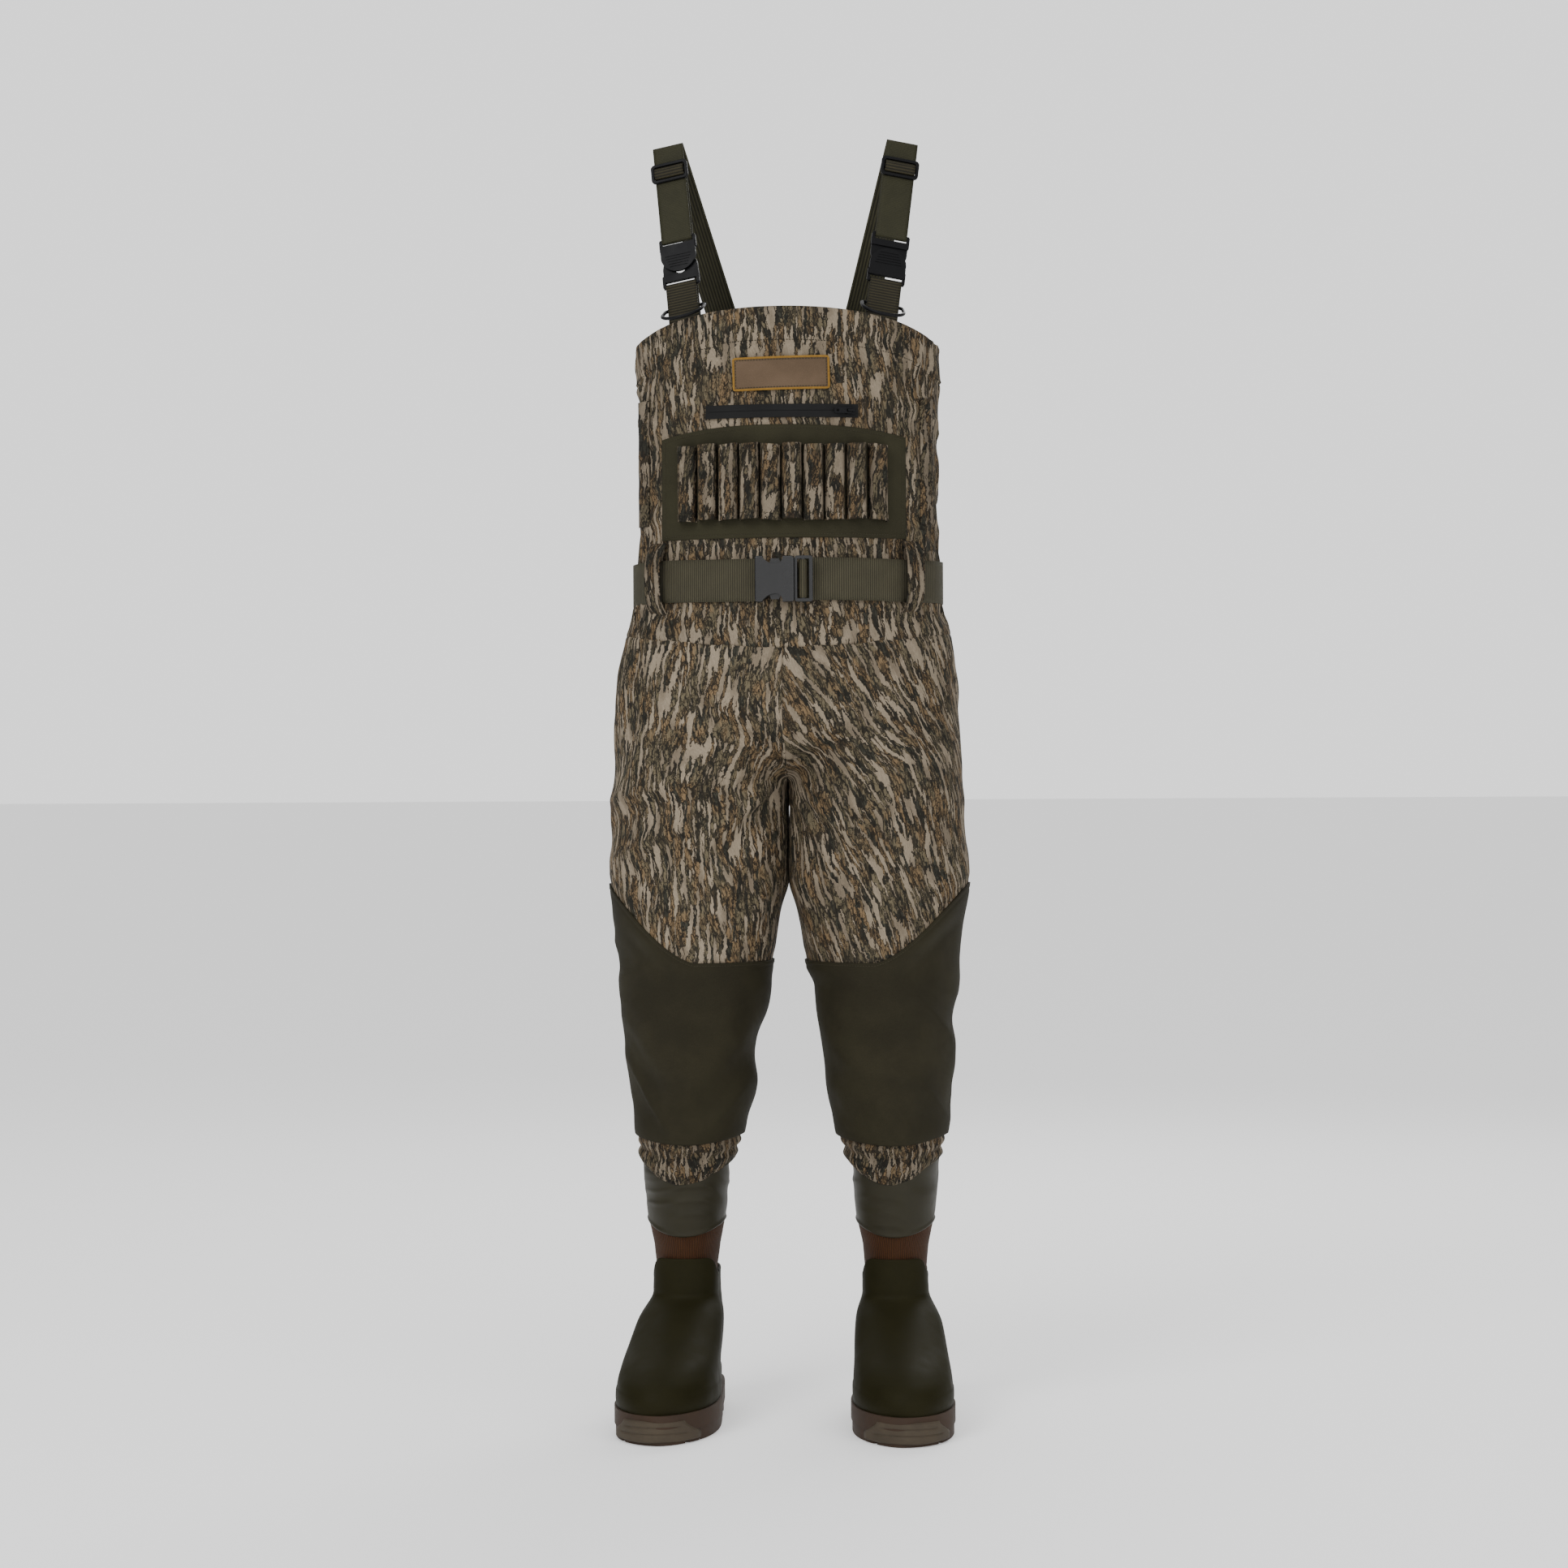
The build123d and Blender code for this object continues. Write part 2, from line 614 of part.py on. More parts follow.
def strap_slider():
    """Three-bar slider: a rounded frame with a middle bar that the webbing passes over."""
    lift = LOOP_R + STRAP_T + 0.5
    with BuildPart() as slider:
        with BuildSketch(strap_plane(SLIDER_AT, lift)):
            RectangleRounded(CLIP_W, 24, 5)
            RectangleRounded(CLIP_W - 8, 16.5, 2.5, mode=Mode.SUBTRACT)
        extrude(amount=3.4)
        fillet(slider.faces().sort_by(Axis((0, 0, 0), tuple(FACE)))[-1].edges(), 1.1)
        with BuildSketch(strap_plane(SLIDER_AT, lift)):
            Rectangle(CLIP_W - 6, 3.6)
        extrude(amount=2.4)
    return slider


def slider_fold():
    """Short run of webbing over the slider's middle bar, which travels with it."""
    lift = LOOP_R + STRAP_T + 0.5
    with BuildPart() as fold:
        with BuildSketch(STRAP_EDGE):
            for half, rise, mode in ((7.8, 5.6, Mode.ADD), (6.2, 4.0, Mode.SUBTRACT)):
                with BuildLine():
                    bow = Spline((SLIDER_AT - half, lift), (SLIDER_AT - 0.6 * half, lift + 0.8 * rise),
                                 (SLIDER_AT, lift + rise), (SLIDER_AT + 0.6 * half, lift + 0.8 * rise),
                                 (SLIDER_AT + half, lift))
                    Line(bow @ 1, bow @ 0)
                make_face(mode=mode)
        extrude(amount=STRAP_W / 2 - 0.8, both=True)
    return fold


def clip_half(bar_at, way, in_front):
    """Half of a strap clip: a webbing bar and slot at one end, a round plate at the other.

    way is -1 for the half that reaches down from its bar, and 1 for the one that reaches up. The half
    in front has a grooved plate with a peg behind it. The half behind has the hole for the peg.
    """
    slot, lift = 7.0, 0.3 if in_front else -3.7
    with BuildPart() as half:
        with BuildSketch(strap_plane(bar_at, -1.8)):
            with Locations((0, way * (CLIP_NECK - 1) / 2)):
                RectangleRounded(CLIP_W, CLIP_NECK + 1, 2)
            with Locations((0, way * slot / 2)):
                Rectangle(CLIP_W - 7, slot, mode=Mode.SUBTRACT)
        extrude(amount=3.6)
        with BuildSketch(Plane(origin=strap_plane(bar_at).origin, z_dir=ACROSS)):
            Circle(BAR_R)
        extrude(amount=CLIP_W / 2 - 1, both=True)
        with BuildSketch(strap_plane(bar_at, lift)):
            with Locations((0, way * (CLIP_NECK + 4) / 2 + way * 3)):
                Rectangle(CLIP_W - 2, CLIP_NECK - 3)
            with Locations((0, way * (CLIP_LENGTH - 20))):
                Ellipse(CLIP_W / 2 - 1, 20)
            if not in_front:
                with Locations((0, way * 24)):
                    Circle(7.5, mode=Mode.SUBTRACT)
            with Locations((0, way * slot / 2)):
                Rectangle(CLIP_W - 7, slot, mode=Mode.SUBTRACT)
        extrude(amount=3.4)
        if in_front:
            with BuildSketch(strap_plane(bar_at, -3.0)):
                with Locations((0, way * 36)):
                    Circle(4)
            extrude(amount=3.6)
            with BuildSketch(strap_plane(bar_at, lift + 2.8)):
                for step in range(5):
                    with Locations((0, way * (22 + 3.4 * step))):
                        Rectangle(33 - 2.6 * step, 1.2)
            extrude(amount=2, mode=Mode.SUBTRACT)
    return half


RING_BAR = HEM_POINT + UP * RING_AT - FACE * (LOOP_R + STRAP_T + 2.5)  # middle of the ring's bar
RING_REACH = Vector(122, -95, 1307) - RING_BAR  # from the bar to the bow in front of the hem
RING_PLANE = Plane(origin=RING_BAR, x_dir=ACROSS, z_dir=ACROSS.cross(RING_REACH))


def d_ring():
    """D-ring of round wire: a straight bar behind the tab, and a bow that lies over the hem."""
    half, depth, corner, wire = 25.0, 42.0, 5.0, 2.0
    with BuildPart() as ring:
        with BuildLine(RING_PLANE) as path:
            Line((0, 0), (half - corner, 0))
            JernArc((half - corner, 0), (1, 0), corner, 90)
            Line((half, corner), (half, depth - half))
            JernArc((half, depth - half), (0, 1), half, 90)
        with BuildSketch(Plane(origin=RING_BAR, z_dir=ACROSS)):
            Circle(wire)
        sweep(path=path.line)
        mirror(about=Plane(origin=RING_BAR, z_dir=ACROSS))
    return ring


def ring_keeper():
    """Narrow tape behind the tab, looped round the D-ring's bar."""
    centre = STRAP_EDGE.to_local_coords(RING_BAR)
    with BuildPart() as keeper:
        with BuildSketch(STRAP_EDGE):
            with Locations((centre.X, centre.Y)):
                Circle(3.9)
            with Locations((centre.X - 9, centre.Y - 3.15)):
                Rectangle(18, 1.5)
            with Locations((centre.X, centre.Y)):
                Circle(2.4, mode=Mode.SUBTRACT)
            with Locations((0, 0)):
                Rectangle(200, 2 * (LOOP_R + STRAP_T), mode=Mode.SUBTRACT)
        extrude(amount=12, both=True)
    return keeper


def finish_straps():
    """Both shoulders. The upper clip half lies in front on the right shoulder, the lower on the left."""
    finish_pair(strap(), "strap")
    finish_pair(hem_tab(), "hem_tab")
    finish_pair(strap_slider(), "strap_slider")
    finish_pair(slider_fold(), "slider_fold")
    finish_pair(d_ring(), "d_ring")
    finish_pair(ring_keeper(), "ring_keeper")
    for name, side in SIDES.items():
        for half, bar_at, way in (("upper", UPPER_BAR, -1), ("lower", LOWER_BAR, 1)):
            with BuildPart() as clip:
                add(clip_half(bar_at, way, in_front=(way == side)).part)
                if side < 0:
                    mirror(about=Plane.YZ, mode=Mode.REPLACE)
            finish(clip, f"clip_{half}_{name}")


finish_straps()
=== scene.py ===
"""Chest waders: cloth, webbing, rubber and finishes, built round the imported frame.

Metres, +Z up, the front faces -Y, +X is the wearer's left. The garment's upright axis lies at AXIS_Y.
"""

import math

import bmesh
import bpy
import numpy as np
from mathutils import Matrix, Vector


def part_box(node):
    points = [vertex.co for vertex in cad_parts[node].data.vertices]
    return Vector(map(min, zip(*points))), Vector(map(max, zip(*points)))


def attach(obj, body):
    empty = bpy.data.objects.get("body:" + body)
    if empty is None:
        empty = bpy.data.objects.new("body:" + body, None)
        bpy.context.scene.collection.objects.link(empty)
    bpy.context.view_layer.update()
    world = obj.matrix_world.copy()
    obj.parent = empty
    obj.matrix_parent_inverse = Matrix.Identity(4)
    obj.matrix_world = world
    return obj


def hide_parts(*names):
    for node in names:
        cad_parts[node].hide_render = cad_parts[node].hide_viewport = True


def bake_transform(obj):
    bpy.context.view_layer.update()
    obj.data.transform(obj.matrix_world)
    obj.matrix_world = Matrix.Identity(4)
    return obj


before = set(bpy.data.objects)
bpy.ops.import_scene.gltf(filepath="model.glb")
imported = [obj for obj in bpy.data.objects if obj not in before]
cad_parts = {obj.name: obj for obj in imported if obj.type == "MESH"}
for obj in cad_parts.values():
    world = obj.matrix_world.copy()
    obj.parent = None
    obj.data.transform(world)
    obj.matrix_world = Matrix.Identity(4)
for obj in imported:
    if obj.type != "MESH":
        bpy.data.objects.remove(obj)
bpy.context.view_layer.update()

MM = 0.001
SIDES = {"left": 1, "right": -1}
BIB_LOW_CORNER, BIB_HIGH_CORNER = (np.array(corner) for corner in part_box("bib_shell"))
AXIS_Y = float(BIB_LOW_CORNER[1] + BIB_HIGH_CORNER[1]) / 2
TOP_Z = float(BIB_HIGH_CORNER[2])
CROTCH_Z = 0.757
CLOTH = 2.0 * MM
BIB_HALF_X, BIB_HALF_Y = 0.184, 0.117  # the bib at chest height
WAIST_HALF_X = 0.19
BELT_Z = 0.994
SHAFT_X = 0.126  # axis of the left boot's shaft

# height, half width and half depth of the bib's level ellipses
BIB = np.array([
    (0.905, 0.2020, 0.1240), (0.922, 0.1990, 0.1225), (0.950, 0.1930, 0.1195), (0.975, 0.1855, 0.1170),
    (1.010, 0.1835, 0.1165), (1.030, 0.1840, 0.1170), (1.250, 0.1840, 0.1170), (1.340, 0.1810, 0.1120),
])
# height, half width and half depth of the hips
HIPS = np.array([
    (0.757, 0.2120, 0.1280), (0.800, 0.2110, 0.1300), (0.860, 0.2075, 0.1270), (0.922, 0.1985, 0.1220),
    (0.945, 0.1940, 0.1195),
])
# height, centre x, half width, half depth and centre y of the left leg
LEG = np.array([
    (0.269, 0.1260, 0.0515, 0.0600, 0.000), (0.299, 0.1250, 0.0560, 0.0650, 0.002),
    (0.328, 0.1225, 0.0670, 0.0760, 0.003), (0.387, 0.1200, 0.0770, 0.0860, 0.000),
    (0.446, 0.1180, 0.0840, 0.0920, -0.004), (0.505, 0.1150, 0.0900, 0.0980, -0.006),
    (0.593, 0.1120, 0.1000, 0.1070, -0.001), (0.612, 0.1108, 0.1030, 0.1090, -0.001),
    (0.632, 0.1084, 0.1090, 0.1110, 0.000), (0.655, 0.1078, 0.1100, 0.1130, 0.000),
    (0.700, 0.1072, 0.1095, 0.1165, 0.000), (0.757, 0.1064, 0.1085, 0.1210, 0.000),
    (0.810, 0.1060, 0.1070, 0.1210, 0.000),
])


# ---------------------------------------------------------------- numbers on surfaces

def ease(x, low=0.0, high=1.0):
    """Smooth step: 0 up to low, 1 from high on, 3t^2 - 2t^3 between."""
    t = np.clip((x - low) / (high - low), 0, 1)
    return t * t * (3 - 2 * t)


def bump(x, middle, width):
    """Bell curve exp(-((x - middle) / width)^2)."""
    return np.exp(-(((x - middle) / width) ** 2))


def soft_profile(table, z, soften=0.012):
    """Columns of a height table at z: linear between its rows, then averaged over a short window."""
    window = np.linspace(-1, 1, 9) * soften
    return [
        np.mean([np.interp(z + shift, table[:, 0], column) for shift in window], axis=0)
        for column in table[:, 1:].T
    ]


def lattice(i, j, seed):
    """A repeatable value from -1 to 1 for each pair of whole numbers: the far digits of a sine."""
    digits = np.sin(i * 127.1 + j * 311.7 + seed * 74.7) * 43758.5453
    return 2 * (digits - np.floor(digits)) - 1


def waves(x, y, seed=0, wrap=None):
    """Smooth irregular hills: lattice values blended by 6t^5 - 15t^4 + 10t^3; wrap makes x periodic."""
    i, j = np.floor(x), np.floor(y)
    fx, fy = x - i, y - j
    sx = fx**3 * (fx * (fx * 6 - 15) + 10)
    sy = fy**3 * (fy * (fy * 6 - 15) + 10)
    i2 = i + 1
    if wrap:
        i, i2 = i % wrap, i2 % wrap
    low = lattice(i, j, seed) * (1 - sx) + lattice(i2, j, seed) * sx
    high = lattice(i, j + 1, seed) * (1 - sx) + lattice(i2, j + 1, seed) * sx
    return low * (1 - sy) + high * sy


def folds(x, y, seed=0, wrap=None):
    """Rounded hills with narrow valleys: 1 minus twice the size of the waves, eased."""
    return 1 - 2 * np.sqrt(waves(x, y, seed, wrap) ** 2 + 0.025)


def unit(vectors):
    """Each vector divided by its own length."""
    return vectors / (np.linalg.norm(vectors, axis=-1, keepdims=True) + 1e-12)


def looped(row):
    """A row with its first entry again at the end."""
    return np.concatenate([row, row[:1]])


def wrapped(z, columns):
    """Heights of a closed grid's map: one column more than the grid has."""
    z = np.broadcast_to(z, (len(z), columns))
    return np.concatenate([z, z[:, :1]], axis=1)


def walk(path):
    """Distance walked from the path's start to each of its points."""
    return np.concatenate([[0], np.cumsum(np.linalg.norm(np.diff(path, axis=0), axis=1))])


def along(path, walked, places):
    """The path's values at the distances given by places."""
    return np.stack([np.interp(places, walked, column) for column in path.T], axis=1)


def surface_normals(points, closed=False):
    """Unit normals of a grid of points, from the cross product of its two gradients."""
    down = np.gradient(points, axis=0)
    if closed:
        across = (np.roll(points, -1, axis=1) - np.roll(points, 1, axis=1)) / 2
    else:
        across = np.gradient(points, axis=1)
    normal = unit(np.cross(across, down))
    outward = points - points.mean(axis=1, keepdims=True)
    return -normal if (normal * outward)[:, :, :2].sum() < 0 else normal


def pushed(points, amount, closed=False):
    """A grid of points moved along its own normals by amount."""
    return points + surface_normals(points, closed) * np.asarray(amount)[..., None]


# ---------------------------------------------------------------- meshes

def mesh_piece(name, vertices, faces, materials, uv=None, smooth=True):
    """Object at the origin from vertices and quads or triangles, with an optional cloth map per corner."""
    mesh = bpy.data.meshes.new(name)
    faces = faces.tolist() if isinstance(faces, np.ndarray) else faces
    mesh.from_pydata(np.asarray(vertices).tolist(), [], faces)
    if uv is not None:
        layer = mesh.uv_layers.new(name="cloth")
        layer.data.foreach_set("uv", np.asarray(uv, dtype=np.float32).ravel())
    for material in materials:
        mesh.materials.append(material)
    mesh.polygons.foreach_set("use_smooth", [smooth] * len(mesh.polygons))
    mesh.update()
    piece = bpy.data.objects.new(name, mesh)
    bpy.context.scene.collection.objects.link(piece)
    return piece


def grid_faces(rows, columns, closed=False, flip=False):
    """Quads between neighbouring grid points, and the same quads on a map that never wraps."""
    i, j = np.meshgrid(np.arange(rows - 1), np.arange(columns if closed else columns - 1), indexing="ij")
    i, j = i.ravel(), j.ravel()
    k = (j + 1) % columns
    wide = columns + 1 if closed else columns
    corners = [i * columns + j, i * columns + k, (i + 1) * columns + k, (i + 1) * columns + j]
    on_map = [i * wide + j, i * wide + j + 1, (i + 1) * wide + j + 1, (i + 1) * wide + j]
    faces, mapped = np.stack(corners, axis=1), np.stack(on_map, axis=1)
    if flip:
        faces, mapped = faces[:, ::-1], mapped[:, ::-1]
    return faces, mapped


def grid_piece(name, points, uv, materials, closed=False, weld=False):
    """Smooth sheet on a grid of points, its faces turned outwards, its map in metres."""
    rows, columns = points.shape[:2]
    faces, mapped = grid_faces(rows, columns, closed)
    normal = surface_normals(points, closed)
    quad = points.reshape(-1, 3)[faces]
    face_normal = np.cross(quad[:, 1] - quad[:, 0], quad[:, 3] - quad[:, 0])
    wanted = normal.reshape(-1, 3)[faces[:, 0]]
    if (face_normal * wanted).sum() < 0:
        faces, mapped = grid_faces(rows, columns, closed, flip=True)
    piece = mesh_piece(name, points.reshape(-1, 3), faces, materials, uv.reshape(-1, 2)[mapped])
    if weld:
        merge_close(piece)
    return piece


def merge_close(piece, distance=0.00002):
    """Join points that lie on each other."""
    work = bmesh.new()
    work.from_mesh(piece.data)
    bmesh.ops.remove_doubles(work, verts=work.verts, dist=distance)
    work.to_mesh(piece.data)
    work.free()


def thicken(piece, thickness=CLOTH, lining=False):
    """Give a sheet its thickness, inwards; a lining takes the piece's second material."""
    wall = piece.modifiers.new("wall", "SOLIDIFY")
    wall.thickness = thickness
    wall.offset = -1
    wall.use_quality_normals = True
    if lining:
        wall.material_offset = 1
    return piece


def mirrored(points):
    """The same grid for the other side of the garment."""
    return points * np.array([-1, 1, 1])


def ribbon(name, path, across, width, thickness, materials, switch=None):
    """Flat band along a path: its middle line, moved by across times -1/2 to 1/2 of the width.

    The closed section goes over the face and back under it. From row switch on, the second material shows.
    """
    columns = 9
    across = np.broadcast_to(np.asarray(across, dtype=float), path.shape)
    out = unit(np.cross(across, np.gradient(path, axis=0)))
    share = np.linspace(-0.5, 0.5, columns)
    side = np.concatenate([share, share[::-1]])
    lift = np.repeat([thickness / 2, -thickness / 2], columns)
    points = (
        path[:, None] + across[:, None] * (side * width)[None, :, None] + out[:, None] * lift[None, :, None]
    )
    uv = np.stack(np.broadcast_arrays(looped(side)[None, :] * width, walk(path)[:, None]), axis=2)
    rows, count = points.shape[:2]
    faces, mapped = grid_faces(rows, count, closed=True)
    ends = [np.arange(count)[::-1], (rows - 1) * count + np.arange(count)]
    quad = points.reshape(-1, 3)[faces]
    centre = points.mean(axis=1)[faces[:, 0] // count]
    face_normal = np.cross(quad[:, 1] - quad[:, 0], quad[:, 3] - quad[:, 0])
    if (face_normal * (quad.mean(axis=1) - centre)).sum() < 0:
        faces, mapped = grid_faces(rows, count, closed=True, flip=True)
        ends = [ring[::-1] for ring in ends]
    corners = uv.reshape(-1, 2)[mapped].reshape(-1, 2)
    every = [*faces.tolist(), *(ring.tolist() for ring in ends)]
    corners = np.concatenate([corners, uv[0, :count], uv[-1, :count]])
    piece = mesh_piece(name, points.reshape(-1, 3), every, materials, corners)
    if switch:
        index = [int(face[0] // count >= switch) for face in faces] + [0, 1]
        piece.data.polygons.foreach_set("material_index", index)
    return piece


def rounded_path(corners, radius, step=3 * MM):
    """Points along straight runs whose corners are turned by quadratic arcs of about the radius."""
    points = [corners[0]]
    for before, corner, after in zip(corners, corners[1:], corners[2:]):
        into, away = corner - before, after - corner
        cut = min(radius, np.linalg.norm(into) / 2, np.linalg.norm(away) / 2)
        start, end = corner - unit(into) * cut, corner + unit(away) * cut
        t = np.linspace(0, 1, 13)[:, None]
        points.extend((1 - t) ** 2 * start + 2 * t * (1 - t) * corner + t**2 * end)
    points = np.array([*points, corners[-1]])
    walked = walk(points)
    return along(points, walked, np.linspace(0, walked[-1], max(8, int(walked[-1] / step))))


def stitches(name, path, normals, material, closed=False, thick=0.45 * MM, lift=0.1 * MM):
    """A row of thread: along the path, one small six-sided bead per pitch, its ends drawn in."""
    pitch, length, around = 3.4 * MM, 2.3 * MM, 6
    if closed:
        path, normals = looped(path), looped(normals)
    walked = walk(path)
    places = np.arange(pitch / 2, walked[-1], pitch)
    at, out = along(path, walked, places), along(normals, walked, places)
    run = unit(along(path, walked, places + pitch / 4) - along(path, walked, places - pitch / 4))
    side = np.cross(out, run)
    angle = np.arange(around) * 2 * math.pi / around
    ring_at = np.array([-0.5, -0.3, 0.3, 0.5]) * length
    ring_size = np.array([0.35, 1.0, 1.0, 0.35]) * thick
    points = (
        (at + out * lift)[:, None, None]
        + run[:, None, None] * ring_at[None, :, None, None]
        + side[:, None, None] * (ring_size[:, None] * np.cos(angle))[None, :, :, None]
        + out[:, None, None] * (ring_size[:, None] * np.sin(angle))[None, :, :, None]
    )
    rings = len(ring_at)
    size = rings * around
    bead = grid_faces(rings, around, closed=True)[0].tolist()
    bead += [list(range(around))[::-1], list(range(size - around, size))]
    every = [[corner + size * i for corner in face] for i in range(len(places)) for face in bead]
    return mesh_piece(name, points.reshape(-1, 3), every, [material])


def wire_ring(name, path, normals, radius, material, around=12):
    """Closed round cord along a closed path whose outward normals are given."""
    side = np.cross(normals, unit(np.roll(path, -1, axis=0) - np.roll(path, 1, axis=0)))
    angle = np.arange(around) * 2 * math.pi / around
    points = path[:, None] + radius * (
        normals[:, None] * np.sin(angle)[None, :, None] + side[:, None] * np.cos(angle)[None, :, None]
    )
    rows = len(path)
    i, j = (a.ravel() for a in np.meshgrid(np.arange(rows), np.arange(around), indexing="ij"))
    i2, j2 = (i + 1) % rows, (j + 1) % around
    corners = np.stack([i * around + j, i2 * around + j, i2 * around + j2, i * around + j2], axis=1)
    walked = walk(looped(path))
    facet = 2 * math.pi * radius / 10
    steps = ((0, 0), (1, 0), (1, 1), (0, 1))
    uv = np.stack([np.stack([(j + c) * facet, walked[i + r]], axis=1) for r, c in steps], axis=1)
    return mesh_piece(name, points.reshape(-1, 3), corners, [material], uv)


# ---------------------------------------------------------------- finishes

class Finish:
    """A material whose nodes are added one call at a time; every number has its own socket."""

    def __init__(self, name):
        self.material = bpy.data.materials.new(name)
        self.material.use_nodes = True
        self.tree = self.material.node_tree
        self.shader = self.tree.nodes["Principled BSDF"]

    def node(self, kind, settings=None, **inputs):
        """Add a node; inputs named a, b, c are its first sockets, others go by the socket's name."""
        made = self.tree.nodes.new(kind)
        for key, value in (settings or {}).items():
            setattr(made, key, value)
        for key, value in inputs.items():
            socket = made.inputs["abc".index(key)] if key in ("a", "b", "c") else made.inputs[key]
            self.put(socket, value)
        return made

    def put(self, socket, value):
        """Link a socket, or set its number or colour."""
        if isinstance(value, bpy.types.NodeSocket):
            self.tree.links.new(value, socket)
        else:
            socket.default_value = value

    def math(self, operation, a, b=0.0):
        return self.node("ShaderNodeMath", {"operation": operation}, a=a, b=b).outputs[0]

    def mix(self, share, low, high):
        """Colour between low and high."""
        made = self.node("ShaderNodeMix", {"data_type": "RGBA"})
        for index, value in ((0, share), (6, low), (7, high)):
            self.put(made.inputs[index], value)
        return made.outputs[2]

    def cloth_map(self, scale=(1, 1, 1), turn=0.0, shift=(0, 0, 0)):
        """The piece's own map in metres, stretched by scale and turned in its plane."""
        source = self.node("ShaderNodeUVMap", {"uv_map": "cloth"}).outputs[0]
        turned = {"Scale": scale, "Rotation": (0, 0, turn), "Location": shift}
        return self.node("ShaderNodeMapping", Vector=source, **turned).outputs[0]

    def space(self, scale=(1, 1, 1)):
        """Object coordinates, stretched by scale."""
        source = self.node("ShaderNodeTexCoord").outputs["Object"]
        return self.node("ShaderNodeMapping", Vector=source, Scale=scale).outputs[0]

    def noise(self, vector, scale, detail=3.0, roughness=0.55, distortion=0.0):
        made = self.node("ShaderNodeTexNoise", Vector=vector, Scale=scale, Detail=detail, Roughness=roughness,
                         Distortion=distortion)
        return made.outputs["Fac"]

    def cracks(self, vector, low, high):
        """1 along the borders of random cells, 0 inside them."""
        cells = self.node("ShaderNodeTexVoronoi", {"feature": "DISTANCE_TO_EDGE"}, Vector=vector, Scale=1.0)
        return self.math("SUBTRACT", 1.0, self.span(cells.outputs["Distance"], low, high))

    def remap(self, value, low, high, to_low=0.0, to_high=1.0, way="LINEAR"):
        """to_low where the value is low, to_high where it is high, clamped beyond."""
        made = self.node("ShaderNodeMapRange", {"interpolation_type": way})
        for key, number in zip(("Value", "From Min", "From Max", "To Min", "To Max"),
                               (value, low, high, to_low, to_high)):
            self.put(made.inputs[key], number)
        return made.outputs[0]

    def span(self, value, low, high):
        """0 at low, 1 at high, smooth between."""
        return self.remap(value, low, high, way="SMOOTHSTEP")

    def ripple(self, vector, pitch):
        """0 to 1 and back every pitch along the vector's x: half of 1 + sin."""
        x = self.node("ShaderNodeSeparateXYZ", Vector=vector).outputs[0]
        wave = self.math("SINE", self.math("MULTIPLY", x, 2 * math.pi / pitch))
        return self.math("MULTIPLY", self.math("ADD", wave, 1.0), 0.5)

    def shaded(self, colour, value, low, high):
        """Colour times a factor that runs from low to high as a noise value runs from 0.3 to 0.7."""
        made = self.node("ShaderNodeVectorMath", {"operation": "SCALE"})
        self.put(made.inputs[0], colour[:3] if isinstance(colour, tuple) else colour)
        self.put(made.inputs["Scale"], self.remap(value, 0.3, 0.7, low, high))
        return made.outputs[0]

    def relief(self, height, distance, strength=1.0):
        made = self.node("ShaderNodeBump", Height=height, Distance=distance, Strength=strength)
        self.tree.links.new(made.outputs[0], self.shader.inputs["Normal"])

    def finish(self, colour, roughness, **constants):
        """Colour and roughness may be linked; every other value is a constant on the shader."""
        self.put(self.shader.inputs["Base Color"], colour)
        self.put(self.shader.inputs["Roughness"], roughness)
        for name, value in constants.items():
            self.shader.inputs[name.replace("_", " ")].default_value = value
        return self.material


def srgb(*bytes_):
    """Linear colour from three sRGB bytes."""
    values = [b / 255 for b in bytes_]
    return (*[v / 12.92 if v < 0.04045 else ((v + 0.055) / 1.055) ** 2.4 for v in values], 1.0)


